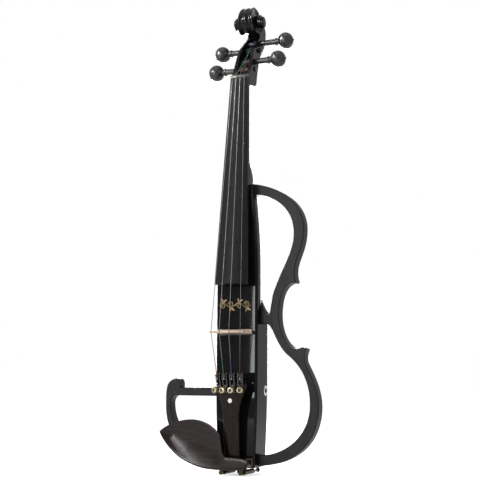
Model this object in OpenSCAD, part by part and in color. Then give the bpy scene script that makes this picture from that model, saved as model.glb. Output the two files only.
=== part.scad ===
// Electric violin, full size, upright: X to the treble side, front to -Y, scroll up.
// Every size below is in millimetres. Heights start at the bottom of the body and
// depths count forward from the back of its lower half, until hung() moves the whole
// violin so that its origin lies in the throat under the scroll, where a hanger holds it.

/* [Body] */
// Height of the solid body, up to the shoulder under the neck heel
body_len = 341; // [325:1:360]
// Greatest width of the body
body_w = 56; // [50:0.5:60]
// Width of the body at its bottom end
body_end_w = 49.5; // [44:0.5:54]
// Width of the body at its shoulder
body_top_w = 44; // [42:0.5:50]
// Depth of the lower half
body_d = 38; // [35:0.5:44]
// Depth of the upper half
upper_d = 24; // [20:0.5:28]
// Height at which the deep lower half ends
step_z = 178; // [174:1:186]
// Rounding of the front edges
front_round = 3; // [2:0.5:5]
// Rounding of the back edges of the upper half
upper_round = 15; // [10:0.5:17]

/* [Strings] */
// Vibrating length, from nut to bridge
string_len = 328; // [320:1:335]
// Height of the bridge above the bottom of the body
bridge_z = 166; // [160:1:170]
// Height of the middle strings above the body at the bridge
bridge_h = 37; // [34:0.5:40]
// Distance between neighbouring strings at the bridge
bridge_pitch = 13; // [11.5:0.25:13.5]
// Distance between neighbouring strings at the nut
nut_pitch = 5.5; // [5:0.1:6]
// Height of the strings above the fingerboard at the nut
nut_action = 1.2; // [0.8:0.1:2]
// Turns of each string round its peg
peg_turns = 4; // [2:1:4]
// Distance between neighbouring turns
turn_pitch = 1.45; // [1.35:0.05:1.6]

/* [Fingerboard] */
// Length of the fingerboard
board_len = 270; // [262:1:275]
// Width at the nut
board_nut_w = 24; // [23:0.25:26]
// Width at the free end
board_end_w = 44.5; // [41:0.5:47]
// Thickness at the edges
board_edge = 4.5; // [4:0.25:6]
// Radius of the arched top
board_radius = 42; // [38:1:48]
// How far the nut end lies behind the front of the body
nut_drop = 7.4; // [5:0.2:10]
// How far the board rises from nut to free end
board_rise = 21.9; // [18:0.2:24]

/* [Neck and head] */
// Thickness of the neck under the board at the nut
neck_nut_t = 13; // [11.5:0.25:14]
// Thickness of the neck under the board above the heel
neck_heel_t = 15.5; // [14:0.25:17]
// Width of the heel
heel_w = 30; // [28:0.5:32]
// Depth of the heel under the board
heel_t = 31; // [28:0.5:33]
// Width of the pegbox at the nut
pegbox_w = 24.6; // [24:0.2:26]
// Width of the string channel in the pegbox
channel_w = 15; // [13.5:0.25:15.5]
// Width over the ears of the scroll
scroll_w = 40; // [38:0.2:44]
// Radius of the scroll at its back
scroll_r = 26; // [24:0.5:28]
// Radius of the eye at the end of the spiral
eye_r = 7.2; // [6:0.2:8]

/* [Pegs] */
// Radius of a peg where it enters the pegbox
peg_r = 3.7; // [3.4:0.1:4]
// Radius of the ball head
peg_head_r = 10.8; // [9:0.2:12]
// Distance of the ball from the middle of the pegbox
peg_reach = 42.5; // [40:0.5:46]
// Gap between a peg and its holes
peg_gap = 0.06; // [0.03:0.01:0.1]

/* [Tailpiece] */
// Length of the tailpiece
tail_len = 96.5; // [92:0.5:100]
// Height of its lower end
tail_z = 7; // [6:0.5:9]
// Width at its upper end
tail_w = 41; // [39:0.2:44]
// Width of its stem
stem_w = 20.6; // [19:0.2:23]
// Height of its crown above the front of the body, at the lower end
tail_h = 12; // [11.5:0.5:14]
// Lean of the tailpiece towards the strings, in degrees
tail_lean = 4.5; // [3:0.5:6]
// Radius of the crown
tail_r = 48; // [44:1:54]
// Thickness of the tailpiece
tail_t = 4; // [3.5:0.25:4.5]
// Distance between neighbouring fine tuners
tuner_pitch = 9.2; // [9:0.1:10]
// Radius of a tuner screw's knurled head
tuner_head_r = 3.75; // [3:0.25:4]

/* [Frames] */
// Depth of both frames
frame_d = 15; // [13:0.5:15]
// How far the frames lie behind the front of the body
frame_set = 12; // [9:0.5:14]
// Width over the upper half outline
upper_bout = 171.4; // [160:0.2:176]
// Width at the waist
waist_bout = 104.4; // [98:0.2:110]
// Width over the lower half outline
lower_bout = 209.4; // [198:0.2:216]
// Width of the frame bands
band_w = 13; // [11:0.5:16]
// Width of the bass frame's band above the chinrest
bass_band_w = 8; // [7:0.5:9.5]

/* [Chinrest] */
// Height of the rim above the front of the body
rest_h = 22.5; // [22:0.5:25]
// Depth of the dish
rest_dish = 7; // [4:0.5:8]
// Thickness of the plate
rest_t = 4.5; // [3.5:0.25:5.5]
// Distance between the two clamp screws
clamp_pitch = 26; // [25:0.5:28]

/* [Electronics] */
// Depth of the compartment in the back
cavity_d = 24; // [23:0.5:26]
// Width of the compartment
cavity_w = 34; // [33:0.5:34.5]
// Thickness of the back cover
cover_t = 2.4; // [2:0.1:2.4]
// Height of the output jack
jack_z = 94; // [92:0.5:96]
// Radius of the output jack's bore
jack_bore_r = 3.25; // [3.23:0.01:3.3]
// Radius of the headphone jack's bore
phone_bore_r = 1.83; // [1.81:0.01:1.88]

/* [Hidden] */
$fn = 48;

// Clearances
eps = 0.01;
fit = 0.15;
run = 0.05;
seat = 0.3;

// Strings are counted g, d, a, e from the bass side
G = 0;
D = 1;
A = 2;
E = 3;
string_r = [0.4, 0.36, 0.32, 0.2];
place = [-1.5, -0.5, 0.5, 1.5];

// Places that follow from the sizes above
nut_z = bridge_z + string_len;
nut_t = 5.5;
glue_nut = body_d - nut_drop;
glue_slope = board_rise / board_len;
nut_sag = sag(board_radius, board_nut_w / 2);
bridge_crown = body_d + bridge_h + sag(board_radius, bridge_pitch / 2);
nut_crown = glue_nut + board_edge + nut_sag + nut_action;
frame_front = body_d - frame_set;
frame_back = frame_front - frame_d;
crown_axis = body_d + tail_h - tail_r;
tail_top = tail_z + tail_len;
pivot_z = tail_top + 10.9;

// Peg axes: height above the nut and distance behind the board's glue line
peg_up = [16, 46.5, 57.5, 27.5];
peg_behind = [19.1, 37.6, 43.1, 23.1];
peg_side = [-1, -1, 1, 1];
// How far each peg stands out beyond the shortest
peg_out = [0.8, 0.7, 3.8, 1];
peg_taper = 1 / 60;

// Scroll: middle of the spiral, angle where it leaves the pegbox, turns
scroll_up = 82;
scroll_behind = 30.1;
scroll_start = -25;
scroll_steps = 24;
scroll_last = 42;
scroll_neck = 6.8;

// Hanger: throat under the scroll
hang_z = nut_z + 62;
hang_d = glue_nut - 18.6;

function sag(r, x) = r - sqrt(r * r - x * x);
function mix(a, b, t) = a + (b - a) * t;
function ease(t) = let (c = min(max(t, 0), 1)) c * c * (3 - 2 * c);
function bezier(p, t) = let (u = 1 - t)
    u * u * u * p[0] + 3 * u * u * t * p[1] + 3 * u * t * t * p[2] + t * t * t * p[3];
function curve(p, n) = [for (i = [0:n]) bezier(p, i / n)];
function chain(spans, n) = [for (s = spans) each [for (i = [0:n - 1]) bezier(s, i / n)]];
function flip(points) = [for (p = points) [-p[0], p[1]]];
function back(points) = [for (i = [len(points) - 1:-1:0]) points[i]];
function unit(v) = v / norm(v);
function glue(z) = glue_nut + glue_slope * (nut_z - z);
function board_half(z) = mix(board_nut_w, board_end_w, (nut_z - z) / board_len) / 2;

// Moves the violin from the bench to its hanger
module hung() translate([0, hang_d, -hang_z]) children();

// An outline in depth and height, extruded across the violin
module across(w) rotate([90, 0, 90]) linear_extrude(w, center = true) children();

// An outline in width and height, extruded from one depth forward to another
module forward(from, to) translate([0, -from, 0]) rotate([90, 0, 0]) linear_extrude(to - from) children();

// A round bar or hole pointing forward, from one depth to another
module rod(x, z, r, from, to) translate([x, -from, z]) rotate([90, 0, 0]) cylinder(h = to - from, r = r);

// A round bar from one point to another
module bar(from, to, r) {
    v = to - from;
    translate(from) rotate([0, acos(v[2] / norm(v)), atan2(v[1], v[0])]) cylinder(h = norm(v), r = r);
}

// A box given by its sides in width, depth and height
module block(x, d, z) translate([x[0], -d[1], z[0]]) cube([x[1] - x[0], d[1] - d[0], z[1] - z[0]]);

// A skin through rings of points that turn to the left as seen against the travel
module loft(rings) {
    n = len(rings[0]);
    m = len(rings);
    sides = [for (i = [0:m - 2], j = [0:n - 1])
        let (a = i * n + j, b = i * n + (j + 1) % n)
        each [[a, a + n, b + n], [a, b + n, b]]];
    ends = [[for (j = [0:n - 1]) j], [for (j = [n - 1:-1:0]) (m - 1) * n + j]];
    polyhedron([for (r = rings) each r], concat(sides, ends));
}

// A tube along points that never run straight across the violin, with its own radius at each point
module tube(path, radii, sides) {
    last = len(path) - 1;
    rings = [for (i = [0:last])
        let (t = unit(path[min(i + 1, last)] - path[max(i - 1, 0)]),
             u = unit([1, 0, 0] - t[0] * t),
             v = cross(t, u))
        [for (k = [0:sides - 1]) path[i] + radii[i] * (cos(360 * k / sides) * u + sin(360 * k / sides) * v)]];
    loft(rings);
}

// Body

function body_half(z) = body_w / 2
    - (body_w - body_end_w) / 2 * pow(max(0, 1 - z / 110), 2)
    - (body_w - body_top_w) / 2 * pow(max(0, (z - 240) / (body_len - 240)), 2);
function step_part(z) = ease((z - step_z) / 26);
function body_back(z) = (body_d - upper_d) * step_part(z);
function corner(x, y, r, from) =
    [for (i = [0:5]) [x + r * cos(from + 18 * i), y + r * sin(from + 18 * i)]];
function body_ring(z, inset) =
    let (w = body_half(z) - inset,
         f = body_d - inset,
         b = body_back(z) + inset,
         rb = mix(5, upper_round, step_part(z)),
         rf = front_round,
         outline = concat(corner(w - rf, rf - f, rf, -90), corner(w - rb, -b - rb, rb, 0),
                          corner(rb - w, -b - rb, rb, 90), corner(rf - w, rf - f, rf, 180)))
    [for (p = outline) [p[0], p[1], z]];

cover_z = [26, 154];
cover_w = cavity_w + 9;
cavity_z = [cover_z[0] + 4, cover_z[1] - 4];
cover_screw_x = cover_w / 2 - 2.9;
cover_screw_z = [cover_z[0] + 4, jack_z + 27, cover_z[1] - 4];
piezo_w = 44;
piezo_z = 6.2;
piezo_t = 1.6;
button_d = body_d / 2;
button_pin_r = 4;
button_pin_len = 24;
jack_d = 7.6;
jack_recess = 3;
jack_recess_r = 7;
phone_z = 142;
phone_d = 9;
jack_thread_r = 4.7;
phone_thread_r = 3.4;
tenon_len = 7;
tenon_d = 8;
tenon_h = 8;
tenon_mid = (frame_front + frame_back) / 2;
lower_tenon_z = 8.75;
middle_tenon_z = step_z + 6;
bar_tenon_z = 92;
saddle_w = 24;
saddle_h = 6;
saddle_d = 5;

module tenon_at(side, z, gap) {
    reach = body_half(z);
    inner = reach - tenon_len - gap;
    block(side > 0 ? [inner, reach + 1] : [-reach - 1, -inner],
          [tenon_mid - tenon_d / 2 - gap, tenon_mid + tenon_d / 2 + gap],
          [z - tenon_h / 2 - gap, z + tenon_h / 2 + gap]);
}

module body_core() color("#0c0c0d") hung() difference() {
    loft([for (s = [[0, 2], [0.6, 0.8], [2, 0], [20, 0], [45, 0], [75, 0], [110, 0], [step_z, 0],
        [step_z + 5, 0],
                    [step_z + 10, 0], [step_z + 16, 0], [step_z + 22, 0], [step_z + 26, 0], [240, 0],
                        [275, 0],
                    [310, 0], [body_len, 0]]) body_ring(s[0], s[1])]);
    block([-piezo_w / 2 - fit, piezo_w / 2 + fit], [body_d - piezo_t, body_d + 1],
          [bridge_z - piezo_z / 2 - fit, bridge_z + piezo_z / 2 + fit]);
    lead_line(1.2);
    block([-cover_w / 2 - fit, cover_w / 2 + fit], [-1, cover_t], [cover_z[0] - fit, cover_z[1] + fit]);
    block([-cavity_w / 2, cavity_w / 2], [cover_t - eps, cavity_d], cavity_z);
    for (side = [-1, 1], z = cover_screw_z) rod(side * cover_screw_x, z, 1.4 + run, cover_t - 1, 12);
    translate([0, -button_d, -1]) cylinder(h = button_pin_len + 2, r = button_pin_r + run);
    translate([0, -jack_d, jack_z]) rotate([0, 90, 0]) cylinder(h = body_w, r = jack_thread_r + fit);
    translate([body_half(jack_z) - jack_recess, -jack_d, jack_z]) rotate([0, 90, 0])
        cylinder(h = body_w, r = jack_recess_r);
    translate([0, -phone_d, phone_z]) rotate([0, -90, 0]) cylinder(h = body_w, r = phone_thread_r + fit);
    for (side = [-1, 1]) tenon_at(side, lower_tenon_z, fit);
    tenon_at(1, middle_tenon_z, fit);
    tenon_at(-1, bar_tenon_z, fit);
    block([-saddle_w / 2 - fit, saddle_w / 2 + fit], [body_d - saddle_d, body_d + 1], [-1, saddle_h + fit]);
    frame_screw_lines(run);
}

// Neck, pegbox and scroll

heel_top = body_len + 45;
function neck_ring(z) =
    let (h = ease((heel_top - z) / 24),
         t = mix(mix(neck_nut_t, neck_heel_t, (nut_z - z) / (nut_z - heel_top)), heel_t, h),
         w = mix(board_half(z) - 0.3, heel_w / 2, h),
         p = 2 / mix(2.2, 4, h))
    [for (a = [0:10:180])
        [w * sign(cos(a)) * pow(abs(cos(a)), p), t * pow(abs(sin(a)), p) - glue(z) + run, z]];

// Depth and height from the glue line at the nut
function head(d, z) = [-(glue_nut + d), nut_z + z];
pegbox_front = chain([[head(0.6, nut_t), head(-9, 14), head(-11.5, 36), head(-23, 48)],
                      [head(-23, 48), head(-29.5, 53.8), head(-38, 60), head(-43.3, 66.5)]], 8);
pegbox_back = back(chain([[head(-12.6, -8), head(-19.5, -7.5), head(-25, -6.5), head(-25.5, 3)],
                          [head(-25.5, 3), head(-27.5, 14), head(-31, 25), head(-37, 34.5)],
                          [head(-37, 34.5), head(-43.5, 44), head(-55.5, 52), head(-60.5, 63)],
                          [head(-60.5, 63), head(-63.5, 69.5), head(-66.5, 76), head(-65, 81.5)],
                          [head(-65, 81.5), head(-63.8, 86), head(-58.5, 90), head(-52.5, 92.5)]], 6));
channel_floor = back(chain([[head(-22, nut_t + 1), head(-25.5, 20), head(-28, 30), head(-38, 39.5)],
                            [head(-38, 39.5), head(-42.2, 43.5), head(-48.6, 52.5), head(-49.6, 60.5)]], 8));

module pegbox() intersection() {
    across(60) polygon(concat(pegbox_front, [head(-43.6, 70), head(-42, 78), head(-46, 90)], pegbox_back,
        [head(0.5, -8)]));
    forward(-60, 60) polygon([[-pegbox_w / 2, nut_z - 10], [pegbox_w / 2, nut_z - 10], [pegbox_w / 2,
        nut_z + 20],
        [9.6, nut_z + 58], [scroll_neck, nut_z + 94], [-scroll_neck, nut_z + 94], [-9.6, nut_z + 58],
        [-pegbox_w / 2, nut_z + 20]]);
}

function spiral_r(s) = scroll_r * exp(ln(eye_r / scroll_r) * max(s, -30) / spiral_end);
spiral_end = scroll_start + 360 * scroll_last / scroll_steps;
function spiral_w(s) = mix(scroll_neck, scroll_w / 2, pow(max(0, (s - 80) / (spiral_end - 80)), 0.8));
function spiral_at(r, s, x) = [x, r * cos(s) - (glue_nut - scroll_behind), nut_z + scroll_up + r * sin(s)];

// The floor of each turn runs from its own rim to the foot of the next turn, which stands wider
module scroll() {
    n = scroll_steps;
    last = scroll_last;
    count = last + 1;
    angle = [for (i = [0:last]) scroll_start + 360 * i / n];
    foot_r = [for (i = [0:last]) i + n <= last ? spiral_r(angle[i + n]) : eye_r];
    rim = [for (side = [1, -1], i = [0:last]) spiral_at(spiral_r(angle[i]), angle[i],
        side * spiral_w(angle[i]))];
    foot = [for (side = [1, -1], i = [0:last - 1]) spiral_at(foot_r[i], angle[i], side * spiral_w(angle[i]))];
    eye = [for (side = [1, -1], i = [last - n + 1:last - 1]) spiral_at(eye_r, angle[i], side * scroll_w / 2)];
    foot_at = 2 * count;
    eye_at = foot_at + 2 * last;
    function r_(k, i) = k * count + i;
    function f_(k, i) = i == last ? r_(k, last) : foot_at + k * last + i;
    function top_(k, i) = i == last ? r_(k, last)
        : i + n <= last ? r_(k, i + n) : eye_at + k * (n - 1) + i - (last - n + 1);
    function turned(k, face) = k == 0 ? face : back(face);
    floors = [for (k = [0, 1], i = [0:last - 1])
        each concat([turned(k, [r_(k, i), r_(k, i + 1), f_(k, i)])],
                    i < last - 1 ? [turned(k, [r_(k, i + 1), f_(k, i + 1), f_(k, i)])] : [])];
    walls = [for (k = [0, 1], i = [0:last - 1])
        each concat([turned(k, [f_(k, i), top_(k, i + 1), top_(k, i)])],
                    i < last - 1 ? [turned(k, [f_(k, i), f_(k, i + 1), top_(k, i + 1)])] : [])];
    band = [for (i = [0:n - 2]) each [[r_(0, i), r_(1, i), r_(1, i + 1)], [r_(0, i), r_(1, i + 1), r_(0,
        i + 1)]]];
    join = [[r_(0, n - 1), f_(0, 0), r_(0, n)], [r_(0, n - 1), f_(1, 0), f_(0, 0)],
            [r_(0, n - 1), r_(1, n - 1), f_(1, 0)], [r_(1, n - 1), r_(1, n), f_(1, 0)]];
    open_end = [[r_(0, 0), f_(0, 0), f_(1, 0)], [r_(0, 0), f_(1, 0), r_(1, 0)]];
    eyes = [for (k = [0, 1]) turned(k, concat([r_(k, last)], [for (i = [last - n + 1:last - 1]) top_(k,
        i)]))];
    faces = concat(floors, walls, band, join, open_end, eyes);
    polyhedron(concat(rim, foot, eye), [for (f = faces) back(f)]);
}

function peg_d(i) = glue_nut - peg_behind[i];
function peg_z(i) = nut_z + peg_up[i];

// Turns a peg shape, drawn along +Z, onto the axis of peg i with its head outside
module on_peg(i) translate([0, -peg_d(i), peg_z(i)]) rotate([0, peg_side[i] * 90, 0]) children();
module peg_cone(gap, from, to)
    translate([0, 0, from])
        cylinder(h = to - from, r1 = peg_r + gap + (from - pegbox_w / 2) * peg_taper,
                 r2 = peg_r + gap + (to - pegbox_w / 2) * peg_taper);

module neck() color("#0c0c0d") hung() difference() {
    union() {
        loft([for (z = [body_len, body_len + 9, body_len + 17, for (i = [0:6]) heel_top - 24 + 4 * i,
            heel_top + 8,
                        heel_top + 34, heel_top + 70, nut_z - 7]) neck_ring(z)]);
        pegbox();
        scroll();
    }
    across(channel_w) polygon(concat(channel_floor, [head(10, nut_t + 1), head(10, 20), head(-20, 58),
        head(-36, 63.5), head(-46, 63.5)]));
    for (i = [G:E]) on_peg(i) peg_cone(peg_gap, -pegbox_w, pegbox_w);
    block([-pegbox_w, pegbox_w], [glue_nut, glue_nut + 20], [nut_z - 7.5, nut_z + nut_t]);
}

// Fingerboard, nut and saddle

// Tilts shapes drawn on the glue line, with their upper end at the nut
module on_glue() translate([0, -glue_nut, nut_z]) rotate([-atan(glue_slope), 0, 0]) children();
board_crown = board_edge + sag(board_radius, board_end_w / 2);
nut_lean = (board_edge + nut_sag) * glue_slope;
crown_tilt = atan((board_crown - board_edge - nut_sag) / board_len);

module fingerboard() color("#2b2b2c") hung() on_glue() difference() {
    intersection() {
        rotate([90, 0, 0]) linear_extrude(20) polygon([[-board_nut_w / 2, -nut_lean], [-board_end_w / 2,
            -board_len],
            [board_end_w / 2, -board_len], [board_nut_w / 2, -nut_lean]]);
        translate([0, board_radius - board_edge - nut_sag, 0]) rotate([180 - crown_tilt, 0, 0])
            translate([0, 0, -30]) cylinder(h = board_len + 60, r = board_radius, $fn = 96);
    }
    translate([0, 40, -board_len - 1]) cylinder(h = board_len - (nut_z - body_len) - 6, r = 42.6, $fn = 96);
}

module nut() color("#1b1a19") hung() difference() {
    intersection() {
        block([-board_nut_w / 2, board_nut_w / 2], [glue_nut, glue_nut + 20], [nut_z + run, nut_z + nut_t]);
        translate([0, board_radius - nut_crown, nut_z - 1]) cylinder(h = nut_t + 2, r = board_radius,
            $fn = 96);
    }
    for (i = [G:E]) translate([nut_x(i), -nut_d(i), nut_z - 1]) cylinder(h = nut_t + 2,
        r = string_r[i] + run);
    across(60) polygon([[-nut_crown - 1, nut_z + 1.8], [-nut_crown, nut_z + 2], [-glue_nut - 0.6,
        nut_z + nut_t],
        [-glue_nut - 0.6, nut_z + nut_t + 1], [-nut_crown - 1, nut_z + nut_t + 1]]);
}

module saddle() color("#1b1a19") hung() difference() {
    block([-saddle_w / 2, saddle_w / 2], [body_d - saddle_d + run, body_d + 3.5], [0, saddle_h]);
    translate([0, -body_d - 3.5, saddle_h]) rotate([45, 0, 0]) cube([60, 3.4, 3.4], center = true);
    translate([0, -body_d - 3.5, 0]) rotate([45, 0, 0]) cube([60, 4.4, 4.4], center = true);
}

// Bridge and pickup

bridge_foot_w = 43;
bridge_top_w = 45;
bridge_foot_t = 5.4;
bridge_top_t = 2.6;
bridge_waist_w = 30;

module bridge_outline() difference() {
    half = bridge_top_w / 2;
    crown = [for (i = [0:16]) let (x = half - bridge_top_w * i / 16) [x, bridge_crown - sag(board_radius,
        x)]];
    side = [[bridge_foot_w / 2, body_d], [bridge_foot_w / 2, body_d + 2.4], [bridge_waist_w / 2 + 1.5,
        body_d + 6.6],
            [bridge_waist_w / 2, body_d + 11], [bridge_waist_w / 2 + 2, body_d + 15], [half, body_d + 25]];
    polygon(concat(side, crown, back(flip(side))));
    translate([0, body_d]) circle(r = 9.6);
    for (s = [-1, 1]) {
        translate([s * 19.4, body_d + 20]) circle(r = 4.6);
        translate([s * 2.1, body_d + 26]) circle(r = 2.7);
    }
    polygon([[-4.5, body_d + 25], [4.5, body_d + 25], [0, body_d + 18.5]]);
}

module bridge() color("#d8b27e") hung() difference() {
    intersection() {
        translate([0, 0, bridge_z - 10]) linear_extrude(20) mirror([0, 1]) bridge_outline();
        across(80) polygon([[-body_d, bridge_z - bridge_top_t / 2], [-body_d,
            bridge_z - bridge_top_t / 2 + bridge_foot_t],
            [-bridge_crown - 1, bridge_z + bridge_top_t / 2], [-bridge_crown - 1,
                bridge_z - bridge_top_t / 2]]);
    }
    for (i = [G:E]) translate(over_bridge(i)) rotate([bridge_lean(i), 0, 0])
        cylinder(h = 12, r = string_r[i] + seat, center = true);
}

module piezo_pickup() color("#b9bcc0") hung() block([-piezo_w / 2, piezo_w / 2], [body_d - piezo_t, body_d],
    [bridge_z - piezo_z / 2, bridge_z + piezo_z / 2]);

module lead_line(r) bar([0, -body_d + piezo_t, bridge_z], [0, -cavity_d + 2, cavity_z[1] - 2], r);

module pickup_lead() color("#303030") hung() intersection() {
    lead_line(0.9);
    block([-10, 10], [cavity_d - 1.5, body_d - piezo_t], [cavity_z[1] - 2.5, bridge_z + 4]);
}

// Strings

function nut_x(i) = place[i] * nut_pitch;
function nut_d(i) = nut_crown - sag(board_radius, nut_x(i));
function bridge_x(i) = place[i] * bridge_pitch;
function bridge_d(i) = bridge_crown - sag(board_radius, bridge_x(i));
function tuner_turn(i) = asin(place[i] * tuner_pitch / tail_r);
// A point on tuner i: height above the crown of the tailpiece, and height above the body's bottom
function tuner_at(i, h, z) = leaned_point([(tail_r + h) * sin(tuner_turn(i)),
                                           -crown_axis - (tail_r + h) * cos(tuner_turn(i)), z]);
// Where a point of the upright tailpiece goes when it leans from its lower end towards the strings
function leaned_point(p) = let (y = p[1] + body_d, z = p[2] - tail_z, c = cos(tail_lean), s = sin(tail_lean))
    [p[0], y * c - z * s - body_d, y * s + z * c + tail_z];
module leaned() translate([0, -body_d, tail_z]) rotate([tail_lean, 0, 0]) translate([0, body_d, -tail_z])
    children();
function over_bridge(i) = [bridge_x(i), -bridge_d(i), bridge_z];
function bridge_lean(i) = let (v = over_nut(i) - tuner_at(i, ball_h, ball_z)) -atan2(v[1], v[2]);
function over_nut(i) = [nut_x(i), -nut_d(i), nut_z + 1];

ball_h = 4.9;
ball_z = pivot_z - 4.4;
ball_r = 1.4;
winding_steps = 24;
winding_in = 0.6;

function winding_r(i) = peg_r + seat + string_r[i];
function leave(i) = let (n = [nut_d(i), nut_z + nut_t - 1], c = [peg_d(i), peg_z(i)], w = c - n)
    atan2(w[1], w[0]) - 90 - asin(winding_r(i) / norm(w));
function wound(i, k) =
    let (a = leave(i) + 360 * k / winding_steps,
         x = peg_side[i] * (winding_in + turn_pitch * k / winding_steps))
    [x, -peg_d(i) - winding_r(i) * cos(a), peg_z(i) + winding_r(i) * sin(a)];
function winding(i) = [for (k = [0:peg_turns * winding_steps]) wound(i, k)];
function string_path(i) =
    let (ball = tuner_at(i, ball_h, ball_z),
         up = unit(over_bridge(i) - ball),
         brow = [nut_x(i), -nut_d(i), nut_z + 3.2])
    concat([for (s = [-1, -0.7, 0.7, 1]) ball + s * ball_r * up], [ball + 2 * ball_r * up, over_bridge(i),
        over_nut(i),
        brow], winding(i));
function string_radii(i) =
    concat([0.6, 1.3, 1.3, 0.6] * ball_r / 1.4, [for (k = [0:peg_turns * winding_steps + 4]) string_r[i]]);

// Least gap between two turns of one winding, measured between points half a turn or more apart
function least_gap(i) = let (w = winding(i), h = winding_steps / 2)
    min([for (a = [0:len(w) - 1 - h], b = [a + h:len(w) - 1]) norm(w[a] - w[b])]) - 2 * string_r[i];

module string(i) {
    echo(str("least gap of string ", i, " to itself: ", least_gap(i), " mm"));
    color("#c9c9c6") hung() tube(string_path(i), string_radii(i), 6);
}

module string_g() string(G);
module string_d() string(D);
module string_a() string(A);
module string_e() string(E);

// Pegs

module peg(i) color("#262626") hung() on_peg(i) {
    reach = peg_reach + peg_out[i];
    r = peg_head_r;
    peg_cone(0, -pegbox_w / 2 - 1.5, reach - r - 3);
    rotate_extrude($fn = 64) polygon(concat(
        [[0, reach - r - 4], [peg_r, reach - r - 4], [peg_r + 1.3, reach - r - 3.2], [peg_r + 1.3,
            reach - r - 1.8],
         [peg_r + 0.5, reach - r - 1]],
        [for (a = [-66:6:42]) [r * cos(a), reach - 0.5 + (r - 0.5) * sin(a)]],
        [[r * 0.70, reach + r * 0.62], [r * 0.70, reach + r * 0.68]],
        [for (a = [45:9:90]) [r * 0.92 * cos(a), reach + (r - 0.9) * sin(a)]]));
}
module peg_g() peg(G);
module peg_d_node() peg(D);
module peg_a() peg(A);
module peg_e() peg(E);

// Tailpiece, tailgut and end button

module on_tuner(i) translate([0, -crown_axis, 0]) rotate([0, 0, tuner_turn(i)]) translate([0, -tail_r, 0])
    children();
screw_z = tail_top - 6.5;
screw_r = 1.5;
head_h = 7;
gut_x = 4.5;
gut_r = 1.1;
eye_z = tail_top - 20.2;

module tail_plan() {
    half = tail_w / 2;
    stem = stem_w / 2;
    side = concat([[0, tail_top + 1.2], [half - 1.5, tail_top]],
        chain([[[half, tail_top - 1.5], [half - 3, tail_top - 11.5], [stem + 1.3, tail_top - 21.5],
                [stem, tail_top - 39.5]]], 10), [[stem, tail_top - 39.5]],
        chain([[[stem, tail_z + 9], [stem, tail_z + 3], [stem - 4, tail_z], [0, tail_z]]], 6));
    polygon(concat(side, [[0, tail_z]], back(flip([for (i = [1:len(side) - 1]) side[i]]))));
}

module tailpiece() color("#241a17") hung() leaned() difference() {
    intersection() {
        forward(body_d, body_d + 40) tail_plan();
        translate([0, -crown_axis, 0]) cylinder(h = tail_top + 10, r = tail_r, $fn = 96);
    }
    translate([0, -crown_axis, -1]) cylinder(h = tail_top + 12, r = tail_r - tail_t, $fn = 96);
    for (i = [G:E]) on_tuner(i) rod(0, screw_z, screw_r + 0.7, -10, 10);
    for (s = [-1, 1]) rod(s * gut_x, tail_z + 5, gut_r + fit, body_d, body_d + 40);
    rod(0, eye_z, 2.8 + run, body_d + tail_h - 1.2, body_d + 40);
}

module tailpiece_eye() color("#eef0ee") hung() leaned() rod(0, eye_z, 2.8, body_d + tail_h - 1.2,
    body_d + tail_h + 0.1);

// The tailgut comes out under the tailpiece, bends over the saddle and loops round the end button
button_neck_r = 4.6;
gut_loop_r = button_neck_r + gut_r + 0.2;
gut_z = -1.6 - gut_r;
function gut_side(s) = [[s * gut_x, -body_d - tail_h + tail_t + 0.3 + gut_r, tail_z + 7],
    [s * gut_x, -body_d - tail_h + tail_t + 0.7 + gut_r, tail_z + 3], [s * gut_x,
        -body_d - 3.5 - gut_r - 0.5, saddle_h - 2.4],
    [s * gut_x, -body_d - 3.2 - gut_r, 1.6], [s * (gut_x + 0.3), -body_d - 1.6, gut_z + 0.6],
    [s * gut_loop_r, -body_d + 4, gut_z]];
function gut_loop() = [for (a = [0:20:180]) [gut_loop_r * cos(a), -button_d + gut_loop_r * sin(a), gut_z]];
function gut_path() = concat(gut_side(1), gut_loop(), back(gut_side(-1)));

module tailgut() color("#1c1c1c") hung() {
    path = gut_path();
    last = len(path) - 1;
    rings = [for (i = [0:last])
        let (t = unit(path[min(i + 1, last)] - path[max(i - 1, 0)]),
             u = unit(cross(abs(t[2]) > 0.9 ? [0, 1, 0] : [0, 0, 1], t)),
             v = cross(t, u))
        [for (k = [0:7]) path[i] + gut_r * (cos(45 * k) * u + sin(45 * k) * v)]];
    loft(rings);
}

module end_button() color("#161616") hung() translate([0, -button_d, 0]) rotate_extrude()
    polygon(concat([[0, button_pin_len], [button_pin_r - 0.5, button_pin_len], [button_pin_r,
        button_pin_len - 1],
        [button_pin_r, -eps], [5.8, -eps], [5.8, -1.2], [button_neck_r, -1.6], [button_neck_r,
            gut_z - gut_r - 0.4],
        [5.6, gut_z - gut_r - 1]], [for (a = [20:-10:-90]) [6.2 * cos(a),
            gut_z - gut_r - 2.8 + 2.2 * sin(a)]]));

// Fine tuners

module tuner_body(i) color("#19191a") hung() leaned() on_tuner(i) difference() {
    union() {
        block([-3.3, 3.3], [run, 1.5], [screw_z - 4, tail_top - 1]);
        rod(0, screw_z, 2.6, 0.5, head_h - 0.4);
        for (s = [-1, 1]) translate([s * 2.7, 0, 0]) across(1.2) polygon([[-run, tail_top - 4], [-1.5,
            tail_top - 4],
            [-4.2, pivot_z - 4.5], [-4.2, pivot_z + 1.1], [-2.6, pivot_z + 3.1], [3, pivot_z + 3.1],
            [3, tail_top + 1.6], [-run, tail_top + 1.6]]);
        translate([0, pivot_in, pivot_z]) rotate([0, 90, 0]) cylinder(h = 5.6, r = pivot_r, center = true);
    }
    rod(0, screw_z, screw_r + run, -5, 10);
}

pivot_in = 0.5;
pivot_r = 0.8;
lever_w = 3.8;
arm_in = 5.8;

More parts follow.
